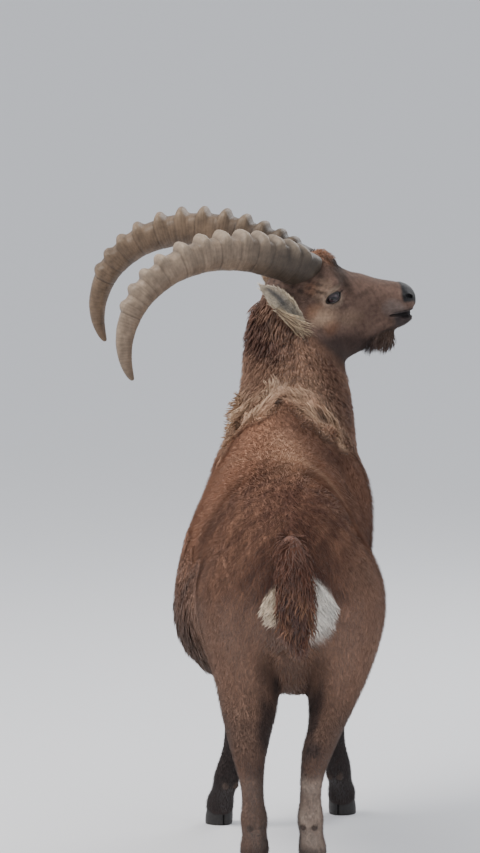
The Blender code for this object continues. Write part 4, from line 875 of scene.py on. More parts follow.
def bareness(place):
    """One where no hair grows: the eye, the nose, the lips and the dewclaws."""
    x, y, z = place.local.T
    u, v = lid_place(x, z)
    eye = (1.0 - ramp(np.hypot(u / LID_LENGTH * 2, v / LID_HEIGHT * 2), 1.05, 1.25)) * (np.abs(y) > 0.03) * place.face
    bare = np.maximum.reduce([eye, place.nose * place.face, place.lips * place.face, dewclaw_weight(place.points)])
    return bare


def lid_place(x, z):
    """Distances from the eye's middle along its slanting lids and across them."""
    slant = math.radians(LID_SLANT)
    dx, dz = x - EYE_AT[0], z - EYE_AT[2]
    return dx * math.cos(slant) + dz * math.sin(slant), dz * math.cos(slant) - dx * math.sin(slant)


def lids_and_muzzle(p):
    """Fine forms of the left side of the head: lids round the eye, the nostril and the mouth's line."""
    out = p - np.array(EYE_AT)
    far = np.maximum(np.linalg.norm(out, axis=1), 1e-9)
    outward = np.clip((out[:, 1] / far - 0.15) / 0.3, 0.0, 1.0)
    u, v = lid_place(p[:, 0], p[:, 2])
    room = np.clip(1.0 - (2 * u / LID_LENGTH) ** 2, 0.0, 1.0) ** 0.62
    half = LID_HEIGHT / 2 * np.where(v > 0, 1.0, 0.85) * room
    opened = np.clip((half - np.abs(v)) / 0.0010 + 0.5, 0.0, 1.0) * (outward > 0) * (room > 0)
    ring = np.hypot(2 * u / (LID_LENGTH * 1.30), 2 * v / (LID_HEIGHT * 1.55))
    crease = 0.0014 * np.exp(-(((ring - 1.0) / 0.10) ** 2)) * outward * (far < 0.035)
    lift = np.maximum(EYE_RADIUS + LID - far, 0.0) * outward - crease
    lift = lift * (1.0 - opened) + (EYE_RADIUS - 0.0022 - far) * opened
    p = p + out / far[:, None] * lift[:, None]

    at = np.array(NOSTRIL_AT)
    dx, dz = p[:, 0] - at[0], p[:, 2] - at[2]
    turn = math.radians(24.0)
    a = dx * math.cos(turn) - dz * math.sin(turn)
    b = dz * math.cos(turn) + dx * math.sin(turn) + 10.0 * a**2
    oval = np.hypot(a / 0.0088, b / 0.0042)
    near = p[:, 1] > 0.012
    pit = np.clip(1.0 - oval**2, 0.0, 1.0) ** 0.5 * near
    rim = np.exp(-(((oval - 1.35) / 0.25) ** 2)) * near
    p = p + np.array((-0.20, -1.0, 0.0)) * (0.0085 * pit)[:, None]
    p = p + np.array((0.10, 1.0, 0.0)) * (0.0013 * rim)[:, None]

    drop = p[:, 2] - mouth_height(p[:, 0])
    wedge = 0.0016 + 0.0050 * ramp(p[:, 0], 0.136, 0.178)
    inside = ramp(wedge - np.abs(drop + wedge), -0.0010, 0.0012) * ramp(p[:, 0], 0.126, 0.136)
    inward = np.stack([0.45 * ramp(p[:, 0], 0.165, 0.185), np.clip(p[:, 1] / 0.012, 0.0, 1.0)], axis=1)
    p[:, :2] -= 0.0075 * inside[:, None] * inward
    return p


def refine(obj, at, radius):
    """Splits each edge near a point of the head's frame in two."""
    shape = bmesh.new()
    shape.from_mesh(obj.data)
    centre = HEAD @ Vector(at)
    edges = [e for e in shape.edges if all((v.co - centre).length < radius for v in e.verts)]
    bmesh.ops.subdivide_edges(shape, edges=edges, cuts=1, use_grid_fill=True)
    bmesh.ops.triangulate(shape, faces=[f for f in shape.faces if len(f.verts) > 4])
    shape.to_mesh(obj.data)
    shape.free()


def sculpt(obj):
    """Raises the head's forms, splitting the mesh ever finer towards eyes, nose and mouth."""
    move_to(obj, shape_trunk(positions(obj.data)))
    local = in_head(positions(obj.data))
    near = np.linalg.norm(local, axis=1) < HEAD_REACH
    local[near] = both_sides(head_forms, local[near])
    place_points(obj, near, local)
    refine(obj, (0.03, 0.0, -0.02), 0.175)
    relax(obj, 2)
    for at, radius in (((0.0, 0.06, 0.0), 0.036), ((0.0, -0.06, 0.0), 0.036), ((0.158, 0.0, -0.03), 0.060)):
        refine(obj, at, radius)
    relax(obj, 1)
    for side in (-1, 1):
        refine(obj, (0.0, 0.06 * side, 0.0), 0.027)
    local = in_head(positions(obj.data))
    near = np.linalg.norm(local, axis=1) < HEAD_REACH
    local[near] = both_sides(lids_and_muzzle, local[near])
    place_points(obj, near, local)


def both_sides(change, points):
    """Works out a change on the left side and mirrors it."""
    sign = np.where(points[:, 1:2] < 0, -1.0, 1.0)
    left = np.hstack([points[:, :1], np.abs(points[:, 1:2]), points[:, 2:]])
    left = change(left)
    left[:, 1:2] *= sign
    return left


def raise_forms(points, forms):
    """Moves the points round each form's centre, less towards its reach."""
    for centre, reach, push in forms:
        points = points + nearness(points, centre, reach)[:, None] * np.array(push)
    return points


def shape_trunk(points):
    """Shoulder, elbow, hip and the hollows behind them, the same on both sides."""
    side = np.where(points[:, :1] < MIDLINE, -1.0, 1.0)
    half = np.hstack([np.abs(points[:, :1] - MIDLINE), points[:, 1:]])
    half = raise_forms(half, BODY_FORMS)
    return np.hstack([MIDLINE + side * half[:, :1], half[:, 1:]])


def head_forms(p):
    return raise_forms(p, HEAD_FORMS)


def place_points(obj, chosen, local):
    points = positions(obj.data)
    head = np.array(HEAD)
    points[chosen] = local[chosen] @ head[:3, :3].T + head[:3, 3]
    obj.data.vertices.foreach_set("co", points.ravel())
    obj.data.update()


def relax(obj, times):
    smooth = obj.modifiers.new("even", "SMOOTH")
    smooth.factor = 0.5
    smooth.iterations = times
    settle(obj)


def thin_body(obj, triangles):
    """Collapses edges of the trunk and legs, and leaves the head as fine as it is."""
    points = positions(obj.data)
    local = in_head(points)
    weight = ramp(np.linalg.norm(local - (0.04, 0.0, -0.02), axis=1), 0.17, 0.24)
    group = obj.vertex_groups.new(name="thin")
    levels = np.round(weight, 1)
    for level in np.unique(levels):
        group.add(np.nonzero(levels == level)[0].tolist(), float(level), "REPLACE")
    count = sum(len(polygon.vertices) - 2 for polygon in obj.data.polygons)
    step = obj.modifiers.new("thin", "DECIMATE")
    step.ratio = min(1.0, triangles / count)
    step.vertex_group = "thin"
    step.use_collapse_triangulate = True
    settle(obj)


def normals_of(mesh):
    values = np.empty(len(mesh.vertices) * 3)
    mesh.vertices.foreach_get("normal", values)
    return values.reshape(-1, 3)


def move_to(obj, points):
    obj.data.vertices.foreach_set("co", points.ravel())
    obj.data.update()


def flesh():
    """The skin of the whole animal but its ears and tail, inside the solids by the coat's depth."""
    skin = melt(body_pieces())
    sculpt(skin)
    thin_body(skin, SKIN_TRIANGLES)
    points, normals = positions(skin.data), normals_of(skin.data)
    place = Places(points, normals)
    move_to(skin, points - normals * coat_depth(place)[:, None])
    skin.name = "skin"
    colour_points(skin, coat_colour(place))
    wet = np.maximum(place.nose, 0.6 * place.lips) * place.face
    float_points(skin, "wet", wet)
    return skin


def colour_points(obj, colours):
    layer = obj.data.color_attributes.new(name="coat_colour", type="FLOAT_COLOR", domain="POINT")
    full = np.concatenate([colours, np.ones((len(colours), 1))], axis=1)
    layer.data.foreach_set("color", full.astype(np.float32).ravel())


def float_points(obj, name, values):
    layer = obj.data.attributes.new(name=name, type="FLOAT", domain="POINT")
    layer.data.foreach_set("value", np.asarray(values, np.float32))


def smooth_shaded(obj):
    obj.data.polygons.foreach_set("use_smooth", np.ones(len(obj.data.polygons), bool))
    return obj


def ear_shape(side):
    """The ear's leaf as sections from root to tip, in the head's frame, with the way it runs and faces."""
    base, tip = np.array(EAR_BASE), np.array(EAR_TIPS[side])
    axis = unit(tip - base)
    length = np.linalg.norm(tip - base)
    face = np.array(EAR_FACE)
    face = unit(face - axis * (face @ axis))
    across = np.cross(axis, face)
    rows = smooth_rows([(t, 0.0, 0.0, *rest) for t, *rest in EAR_ROWS], 46)
    turn = np.linspace(0.0, math.pi, 20, endpoint=False)
    rings = []
    for row in rows:
        t, half, back, front = row[0], row[3] * 0.96, row[4] * 0.92, row[5] - 0.0008
        bow = math.sin(math.pi * max(t, 0.0))
        middle = base + axis * length * t - face * EAR_BEND * bow - across * EAR_CURVE * bow
        outer = middle + np.outer(np.cos(turn), across * half) - np.outer(np.sin(turn), face * back)
        inner = middle - np.outer(np.cos(turn), across * half) + np.outer(np.sin(turn), face * front)
        rings.append(np.concatenate([outer, inner]))
    mirror = np.array((1.0, side, 1.0))
    return np.array(rings) * mirror, axis * mirror, face * mirror, across * mirror


def ear(side, word):
    rings, _, _, _ = ear_shape(side)
    made = tube("ear_skin_" + word, rings)
    made.data.transform(HEAD)
    points, normals = positions(made.data), normals_of(made.data)
    colour_points(made, ear_colour(side, points, normals))
    return smooth_shaded(made)


def ear_place(side, points):
    """How far along the ear points lie, how far across it, and the ways it runs and faces."""
    _, axis, face, across = ear_shape(side)
    base = np.array(EAR_BASE) * (1.0, side, 1.0)
    length = np.linalg.norm(np.array(EAR_TIPS[side]) - np.array(EAR_BASE))
    local = in_head(points) - base
    along = local @ axis / length
    over = local @ across + EAR_CURVE * np.sin(math.pi * np.clip(along, 0.0, 1.0))
    return along, over / 0.024, from_head(axis), from_head(face), from_head(across)


def ear_colour(side, points, normals):
    along, over, _, face, _ = ear_place(side, points)
    inside = ramp(normals @ face, 0.0, 0.45)
    colour = np.tile(EAR_BACK, (len(points), 1))
    colour = blend(colour, EAR_INSIDE, inside)
    streak = np.exp(-(((over + 0.05) / 0.20) ** 2)) * ramp(along, 0.30, 0.50) * (1.0 - ramp(along, 0.78, 0.92))
    colour = blend(colour, EAR_STREAK, 0.85 * streak * inside)
    # Painted shade deep in the ear's hollow towards its root, in the streak's grey
    depth = np.exp(-(((over - 0.15 * LOWER_EDGE) / 0.45) ** 2)) * (1.0 - ramp(along, 0.55, 0.85))
    colour = blend(colour, EAR_STREAK, 0.55 * depth * inside)
    rim = ramp(np.abs(over), 0.62, 0.95) * ramp(along, 0.1, 0.3)
    colour = blend(colour, EAR_RIM, 0.7 * rim)
    return blend(colour, CHEEK_ORANGE, 0.9 * (1.0 - ramp(along, 0.02, 0.22)))


def tail_skin():
    made = loft("tail_skin", TAIL, rings=40, sides=28, grow=-0.005)
    points = positions(made.data)
    colour_points(made, tail_colour(points))
    return smooth_shaded(made)


def tail_colour(points):
    colour = np.tile(TAIL_DARK, (len(points), 1))
    colour = blend(colour, TAIL_ROOT, ramp(points[:, 2], 0.58, 0.66))
    curls = np.clip(0.15 + 0.45 * ripple(points, 0.016, 21), 0.0, 0.7) * ramp(0.66 - points[:, 2], 0.0, 0.08)
    return blend(colour, TAIL_TIP, curls)


def horn_line(s, side):
    """Centres, the way forward over the brow, sideways, and half sizes of a horn at distances along it."""
    fine = np.linspace(0.0, 1.0, 400)
    angle = np.radians(HORN_START - HORN_CURL * fine**HORN_EASE)
    back = np.concatenate([[0.0], np.cumsum(np.cos(angle))[:-1]]) * HORN_ARC / 400
    rise = np.concatenate([[0.0], np.cumsum(np.sin(angle))[:-1]]) * HORN_ARC / 400
    t = np.clip(s, 0.0, 1.0)
    under = np.minimum(s, 0.0) * HORN_ARC
    x = HORN_ROOT[0] - np.interp(t, fine, back) - under * math.cos(math.radians(HORN_START))
    z = HORN_ROOT[2] + np.interp(t, fine, rise) + under * math.sin(math.radians(HORN_START))
    y = HORN_ROOT[1] + HORN_SPREAD * (1 - (1 - t) ** 2 + 2 * np.minimum(s, 0.0))
    centre = np.stack([x, y, z], axis=1)
    tangent = unit(np.gradient(centre, axis=0))
    heading = np.radians(HORN_START - HORN_CURL * t**HORN_EASE)
    front = np.stack([np.sin(heading), np.zeros_like(t), np.cos(heading)], axis=1)
    front = unit(front - tangent * (front * tangent).sum(axis=1, keepdims=True))
    across = np.cross(tangent, front)
    depth = HORN_DEPTH / 2 * np.sqrt(np.maximum(1 - t**3, 0.0)) * (1 - 0.2 * t) + 0.0015
    return centre, front, across, depth, HORN_WIDTH / HORN_DEPTH * depth


def horn(side, word):
    """A horn with a knob for each stretch of growth, a dark seam above each knob and fine rings between."""
    s = np.concatenate([[-0.035, -0.012], np.linspace(0.0, 1.0, 430)])
    centre, front, across, depth, width = horn_line(s, side)
    rng = np.random.default_rng(5)
    knob, seam = np.zeros_like(s), np.zeros_like(s)
    for i, at in enumerate(HORN_KNOBS):
        share = 0.45 + 0.6 * math.sin(math.pi * min(1.0, 0.06 + i / (len(HORN_KNOBS) - 0.5)))
        knob = np.maximum(knob, KNOB_HEIGHT * share * np.exp(-np.abs((s - at) / KNOB_REACH) ** 3))
        seam = np.maximum(seam, np.exp(-(((s - at - 0.021) / 0.0030) ** 2)))
    growth = np.zeros_like(s)
    for at in np.arange(0.01, 0.97, 0.0105):
        at = at + rng.uniform(-0.003, 0.003)
        growth = np.maximum(growth, rng.uniform(0.3, 1.0) * np.exp(-(((s - at) / 0.0016) ** 2)))
    sides = 44
    turn = np.linspace(0.0, 2 * math.pi, sides, endpoint=False) + math.pi / 2
    c, v = np.cos(turn), np.sin(turn)
    power = np.where(v > 0, 2 / 3.2, 1.0)
    a = np.sign(c) * np.abs(c) ** power
    b = np.sign(v) * np.abs(v) ** power
    narrow = np.where(v > 0, 1.0, 1.0 - 0.25 * np.abs(v))
    rings = np.empty((len(s), sides, 3))
    tones = np.empty((len(s), sides, 3))
    for i in range(len(s)):
        lump = 1.0 + 0.012 * np.sin(3 * turn + 40 * s[i]) + 0.008 * np.sin(5 * turn - 95 * s[i])
        ring_cut = 0.0006 * growth[i] + 0.0008 * seam[i]
        lift = knob[i] * ramp(b, 0.42, 0.88)
        wide = width[i] * a * narrow * lump - ring_cut * a + 0.3 * lift * a
        deep = depth[i] * b * lump * np.where(v > 0, 1.0, 1.0 - HORN_HOLLOW * max(s[i], 0.0)) - ring_cut * b + lift
        rings[i] = centre[i] + np.outer(wide, across[i]) + np.outer(deep, front[i])
        base = float(ramp(np.array([0.36 - s[i]]), 0.0, 0.30)[0])
        ground = HORN_PALE * (1.0 - 0.82 * base) + HORN_BASE * 0.82 * base
        worn = np.clip(lift / KNOB_HEIGHT, 0.0, 1.0)[:, None]
        tone = ground * (1.0 - 0.6 * worn) + HORN_CREST * 0.6 * worn
        dark = np.clip(0.26 * growth[i] + 0.42 * seam[i] + 0.12 * max(0.0, (s[i] - 0.8) / 0.2), 0.0, 0.85)
        tones[i] = tone * (1.0 - dark) + HORN_DARK * dark
    if side < 0:
        rings[:, :, 1] *= -1
    made = tube("horn_fine_" + word, rings)
    tones = np.concatenate([tones.reshape(-1, 3), [HORN_DARK, HORN_DARK]])
    mottle = ripple(positions(made.data), 0.03, 31)[:, None]
    blotch = ripple(positions(made.data), 0.009, 32)[:, None]
    # Painted shade: the left horn, on the far side of the head from the camera, is darkened and warmed
    far_horn_shade = (0.66, 0.60, 0.54) if side > 0 else (1.0, 1.0, 1.0)
    colour_points(made, tones * (1.0 + 0.12 * mottle + 0.08 * blotch) * far_horn_shade)
    made.data.transform(HEAD)
    return smooth_shaded(made)


def claw(foot, side, name):
    """One half of a cloven hoof: flat inner wall and sole, rounded outer wall, rings round the wall."""
    levels = np.concatenate([[0.0, 0.03], np.linspace(0.08, 0.94, 14), [0.985, 1.0]])
    rings = []
    for level in levels:
        toe = 0.036 - 0.013 * level - 0.002 * level**2
        heel = -0.030 + 0.0015 * level
        width = 1.0 + 0.05 * math.sin(math.pi * level) - 0.04 * level
        edge = 0.0012 * (math.exp(-level * 40) + math.exp(-(1 - level) * 40))
        wrinkle = 0.00025 * math.sin(level * 60)
        outline = []
        for k in range(25):
            t = k / 24
            bulge = math.sin(math.pi * t) ** 0.55
            y = heel + edge + (toe - heel - 2 * edge) * t
            point_in = 1.0 - 0.45 * max(0.0, t - 0.6) / 0.4
            reach = (HOOF_WIDTH * width + wrinkle - edge) * bulge * point_in
            outline.append((HOOF_SPLIT / 2 + 0.002 * t * t + reach, y))
        for k in range(1, 12):
            t = 1 - k / 12
            outline.append((HOOF_SPLIT / 2 + edge * 0.5, heel + (toe - heel) * t))
        rings.append([(side * x, y, level * coronet_height(y)) for x, y in outline])
    made = tube(name, np.array(rings, float))
    made.data.transform(foot_frame(foot))
    return smooth_shaded(made)


def foot_frame(foot):
    (x, y), turn, _ = FEET[foot]
    return Matrix.Translation(Vector((x, y, 0.0))) @ Matrix.Rotation(math.radians(turn), 4, "Z")


def coronet_height(y):
    """The height of the hoof's top edge at a distance in front of the foot's middle."""
    middle = (CORONET_FRONT + CORONET_BACK) / 2
    return middle + (CORONET_FRONT - CORONET_BACK) * y / HOOF_LENGTH


def eyeball(side, word):
    """A wet dark eye: a brown iris with a long level pupil."""
    made = ellipsoid("eyeball_" + word, (0, 0, 0), (EYE_RADIUS,) * 3, segments=72, rings=48)
    points = positions(made.data)
    x, y, z = points.T
    u = x * math.cos(math.radians(10)) + z * math.sin(math.radians(10))
    v = z * math.cos(math.radians(10)) - x * math.sin(math.radians(10))
    iris = 1.0 - ramp(np.hypot(u, v), 0.0100, 0.0112)
    pupil = 1.0 - ramp((u / 0.0068) ** 4 + (v / 0.0036) ** 4, 0.7, 1.3)
    colour = np.tile(linear(22, 16, 18), (len(points), 1))
    colour = blend(colour, linear(56, 42, 46), iris)
    colour = blend(colour, linear(9, 8, 12), pupil)
    colour_points(made, colour)
    made.data.transform(HEAD @ Matrix.Translation(Vector((EYE_AT[0], side * EYE_AT[1], EYE_AT[2]))))
    return smooth_shaded(made)


def lid_rim(side, word):
    """The dark wet edge of both lids, one closed loop on the eyeball."""
    slant = math.radians(LID_SLANT)
    path = []
    for k in range(72):
        turn = 2 * math.pi * k / 72
        u = LID_LENGTH / 2 * 1.03 * math.cos(turn)
        tall = LID_HEIGHT / 2 * (1.0 if math.sin(turn) > 0 else 0.85)
        v = tall * math.copysign(abs(math.sin(turn)) ** 1.25, math.sin(turn))
        x = u * math.cos(slant) - v * math.sin(slant)
        z = u * math.sin(slant) + v * math.cos(slant)
        reach = EYE_RADIUS + 0.0011
        depth = math.sqrt(max(reach**2 - x * x - z * z, 0.0))
        path.append((EYE_AT[0] + x, EYE_AT[1] + depth, EYE_AT[2] + z))
    path = np.array(path)
    out = unit(path - np.array(EYE_AT))
    along = unit(np.roll(path, -1, axis=0) - np.roll(path, 1, axis=0))
    across = np.cross(out, along)
    thick = 0.0011 + 0.0006 * np.clip(np.sin(np.linspace(0, 2 * math.pi, 72, endpoint=False)), 0, 1)
    turns = np.linspace(0, 2 * math.pi, 10, endpoint=False)
    rings = path[:, None] + thick[:, None, None] * (
        np.cos(turns)[None, :, None] * out[:, None] + np.sin(turns)[None, :, None] * across[:, None]
    )
    rings *= np.array((1.0, side, 1.0))
    points = rings.reshape(-1, 3)
    faces = []
    for i in range(72):
        for k in range(10):
            j, n = (i + 1) % 72, (k + 1) % 10
            faces.append((i * 10 + k, i * 10 + n, j * 10 + n, j * 10 + k))
    made = mesh_object("lid_rim_" + word, points, faces)
    made.data.transform(HEAD)
    return smooth_shaded(made)


class Surface:
    """A skin's triangles, from which hair roots are drawn."""

    def __init__(self, obj):
        mesh = obj.data
        mesh.calc_loop_triangles()
        self.triangles = np.empty(len(mesh.loop_triangles) * 3, int)
        mesh.loop_triangles.foreach_get("vertices", self.triangles)
        self.triangles = self.triangles.reshape(-1, 3)
        self.points, self.normals = positions(mesh), normals_of(mesh)

    def middles(self):
        return self.points[self.triangles].mean(axis=1), unit(self.normals[self.triangles].mean(axis=1))

    def draw(self, density, rng):
        """Roots and normals, so many to the square metre on each triangle."""
        a, b, c = (self.points[self.triangles[:, k]] for k in range(3))
        area = np.linalg.norm(np.cross(b - a, c - a), axis=1) / 2
        total = np.cumsum(area * density)
        picks = np.arange(int(total[-1])) + rng.uniform(0.0, 1.0, int(total[-1]))
        which = np.minimum(np.searchsorted(total, picks), len(area) - 1)
        p, q = rng.uniform(0, 1, (2, len(which)))
        flip = p + q > 1
        p, q = np.where(flip, 1 - p, p), np.where(flip, 1 - q, q)
        weights = np.stack([1 - p - q, p, q], axis=1)[:, :, None]
        corners = self.triangles[which]
        roots = (self.points[corners] * weights).sum(axis=1)
        return roots, unit((self.normals[corners] * weights).sum(axis=1))


def to_clumps(roots, tips, spacing, strength, rng):
    """How far each tuft's tip moves to gather with the tips near it."""
    chosen = np.nonzero(rng.uniform(0, 1, len(roots)) < spacing)[0]
    tree = KDTree(len(chosen))
    for k, i in enumerate(chosen):
        tree.insert(roots[i], k)
    tree.balance()
    nearest = np.array([tree.find(root)[1] for root in roots])
    pull = tips[chosen[nearest]] - tips
    far = np.linalg.norm(pull, axis=1, keepdims=True)
    pull = pull * np.minimum(1.0, 0.012 / np.maximum(far, 1e-9))
    return pull * strength[:, None], nearest


def tufts(name, roots, normals, way, length, width, height, clump, low, high, levels, rng, share=0.07, wave=0.0):
    """Pieces of tapered three-sided tufts that rise to a height and then lie along the skin."""
    if len(roots) == 0:
        return []
    tangent = unit(way - normals * (way * normals).sum(axis=1, keepdims=True))
    side = np.cross(tangent, normals)
    swing = 0.12 * ripple(roots, 0.035, 41) + 0.12 * rng.normal(size=len(roots))
    tangent = unit(tangent + side * swing[:, None])
    side = np.cross(tangent, normals)
    length = length * rng.uniform(0.75, 1.20, len(roots))
    height = height * rng.uniform(0.55, 1.20, len(roots))
    tips = roots + tangent * length[:, None] + normals * height[:, None]
    pull, group = to_clumps(roots, tips, share, clump, rng)
    tone = (1.0 + 0.10 * rng.normal(size=len(roots))) * (1.0 + 0.10 * rng.normal(size=group.max() + 1)[group])
    tone = np.clip(tone, 0.55, 1.6)[:, None]
    phase = rng.uniform(0, 2 * math.pi, len(roots))
    count = 3 * levels + 1
    points = np.empty((len(roots), count, 3))
    colours = np.empty((len(roots), count, 3))
    patch = np.empty((count, 2))
    for k in range(levels + 1):
        t = k / levels
        rise = height * (1.0 - (1.0 - t) ** 1.6) - 0.0016 * (k == 0)
        sway = wave * length * np.sin(phase + 5.0 * t) * t
        middle = roots + tangent * (length * t)[:, None] + normals * rise[:, None]
        middle = middle + side * sway[:, None] + pull * t**1.5
        shade = low + (high - low) * t**0.8
        if k == levels:
            points[:, -1] = middle
            colours[:, -1] = shade * tone
            patch[-1] = (0.0, 0.0015)
            continue
        half = (0.40 * width * (1 - t) ** 0.55 * (1 + 0.9 * t))[:, None]
        for j, (over, up) in enumerate(((-1.0, 0.0), (0.0, 0.75), (1.0, 0.0))):
            points[:, 3 * k + j] = middle + side * half * over + normals * half * up
            colours[:, 3 * k + j] = shade * tone
            patch[3 * k + j] = (0.0015 * over, -0.0015 + 0.0030 * t)
    quads = [(3 * k + j, 3 * k + (j + 1) % 3, 3 * k + 3 + (j + 1) % 3, 3 * k + 3 + j) for k in range(levels - 1) for j in range(3)]
    ends = [(3 * levels - 3 + j, 3 * levels - 3 + (j + 1) % 3, 3 * levels) for j in range(3)]
    spots = skin_map(roots, normals)
    step = PIECE_TRIANGLES // (6 * (levels - 1) + 3)
    order = np.argsort(np.round(roots[:, 2], 2), kind="stable")
    made = []
    for i, start in enumerate(range(0, len(roots), step)):
        part = order[start:start + step]
        piece = tuft_mesh(f"{name}_{i + 1}", points[part], colours[part], quads, ends)
        add_map(piece, (spots[part][:, None] + patch[None]).reshape(-1, 2))
        made.append(piece)
    return made


def tuft_mesh(name, points, colours, quads, ends):
    count, each = points.shape[:2]
    first = (np.arange(count) * each)[:, None, None]
    quads = (np.array(quads, int).reshape(1, -1, 4) + first).reshape(-1, 4)
    ends = (np.array(ends, int).reshape(1, -1, 3) + first).reshape(-1, 3)
    corners = np.concatenate([quads.ravel(), ends.ravel()])
    sizes = np.concatenate([np.full(len(quads), 4), np.full(len(ends), 3)])
    mesh = bpy.data.meshes.new(name)
    mesh.vertices.add(count * each)
    mesh.vertices.foreach_set("co", points.ravel())
    mesh.loops.add(len(corners))
    mesh.loops.foreach_set("vertex_index", corners)
    mesh.polygons.add(len(sizes))
    mesh.polygons.foreach_set("loop_start", np.concatenate([[0], np.cumsum(sizes)[:-1]]))
    mesh.polygons.foreach_set("loop_total", sizes)
    mesh.update(calc_edges=True)
    made = bpy.data.objects.new(name, mesh)
    bpy.context.scene.collection.objects.link(made)
    colour_points(made, colours.reshape(-1, 3))
    return smooth_shaded(made)


# The skin's unwrap: a row for each part of the body, and a column for each way that the skin faces
MAP_ROWS = {
    "torso": (0.00, 0.34, (-0.26, -0.56, 0.28), (0.26, 0.50, 1.00)),
    "neck": (0.34, 0.12, (-0.18, 0.10, 0.70), (0.22, 0.52, 1.22)),
    "head": (0.46, 0.20, (-0.20, 0.20, 0.90), (0.36, 0.60, 1.28)),
    "fore_left": (0.66, 0.08, (-0.20, 0.08, 0.00), (-0.02, 0.32, 0.42)),
    "fore_right": (0.74, 0.08, (0.06, 0.16, 0.00), (0.18, 0.42, 0.42)),
    "hind_left": (0.82, 0.08, (-0.18, -0.54, 0.00), (0.02, -0.20, 0.42)),
    "hind_right": (0.90, 0.08, (0.02, -0.54, 0.00), (0.22, -0.20, 0.42)),
}


def skin_map(points, normals):
    """Places on the unwrap: each part of the body is flattened along the axis that its skin faces most."""
    x, y, z = points.T
    face = in_head(points)[:, 0] * 0.68 + (in_head(points)[:, 2] + 0.07) * 0.73 > -0.037
    low = z < 0.40
    row = np.zeros(len(points), int)
    row[(y > 0.22) & (z > 0.82)] = 1
    row[face & (z > 0.88)] = 2
    row[low & (y > 0) & (x < MIDLINE)] = 3
    row[low & (y > 0) & (x >= MIDLINE)] = 4
    row[low & (y < -0.15) & (x < MIDLINE)] = 5
    row[low & (y < -0.15) & (x >= MIDLINE)] = 6
    axis = np.abs(normals).argmax(axis=1)
    facing = np.take_along_axis(normals, axis[:, None], axis=1)[:, 0] > 0
    spots = np.empty((len(points), 2))
    for index, (start, tall, low_corner, high_corner) in enumerate(MAP_ROWS.values()):
        share = (points - low_corner) / (np.array(high_corner) - low_corner)
        share = np.clip(share, 0.02, 0.98)
        for flat in range(3):
            u, v = [k for k in range(3) if k != flat]
            chosen = (row == index) & (axis == flat)
            column = 2 * flat + facing[chosen]
            spots[chosen, 0] = (column + share[chosen, u]) / 6
            spots[chosen, 1] = start + tall * share[chosen, v]
    return np.clip(spots, 0.004, 0.996)


def add_map(obj, places):
    layer = obj.data.uv_layers.new(name="OFBake")
    corners = np.empty(len(obj.data.loops), int)
    obj.data.loops.foreach_get("vertex_index", corners)
    layer.data.foreach_set("uv", places[corners].astype(np.float32).ravel())


def body_coat(skin):
    """Short and long tufts all over the skin."""
    rng = np.random.default_rng(3)
    surface = Surface(skin)
    place = Places(*surface.middles())
    length, width, _, cover = hair_size(place)
    density = cover / (length * width) * (1.0 - bareness(place)) * (place.points[:, 2] > 0.036)
    roots, normals = surface.draw(density, rng)
    place = Places(roots, normals)
    length, width, clump, _ = hair_size(place)
    height = coat_depth(place) * (1.08 + 0.9 * place.tuft) + 0.009 * place.forelock
    height += 0.016 * np.clip(1.5 * place.jaw, 0.0, 1.0) * ramp(place.local[:, 0], 0.060, 0.095)
    colour = coat_colour(place)
    long = length > 0.027
    low, high = colour * 0.78, colour * 1.10
    high = blend(high, colour * 1.25, np.clip(0.4 * ripple(roots, 0.02, 51), 0.0, 1.0))
    way = lie(place)
    made = []
    middling = ~long & (length > 0.0175)
    short = ~long & ~middling
    kinds = (("coat_short", short, 1, 0.0), ("coat_middling", middling, 2, 0.04), ("coat_long", long, 3, 0.07))
    for name, chosen, levels, wave in kinds:
        made += tufts(
            name, roots[chosen], normals[chosen], way[chosen], length[chosen], width[chosen], height[chosen],
            clump[chosen], low[chosen], high[chosen], levels, rng, wave=wave,
        )
    return made


def tail_coat(skin):
    rng = np.random.default_rng(8)
    surface = Surface(skin)
    middles, _ = surface.middles()
    density = np.where(middles[:, 1] < -0.44, 26000.0, 0.0)
    roots, normals = surface.draw(density, rng)
    x, y, z = roots.T
    curl = 0.35 * ripple(roots, 0.022, 22)
    way = np.stack([5.0 * (x - TAIL_MIDDLE) + curl, -0.25 + 0.0 * y, np.full(len(x), -1.0)], axis=1)
    drop = ramp(0.60 - z, 0.0, 0.10)
    length = 0.034 + 0.012 * drop
    root = ramp(z, 0.62, 0.69)[:, None]
    colour = tail_colour(roots)
    return tufts(
        "tail_hair", roots, normals, way, length, np.full(len(x), 0.0030), 0.010 + 0.003 * drop,
        np.full(len(x), 0.45), colour * (0.64 + 0.16 * root), colour * (1.38 - 0.30 * root), 3, rng, wave=0.13,
    )


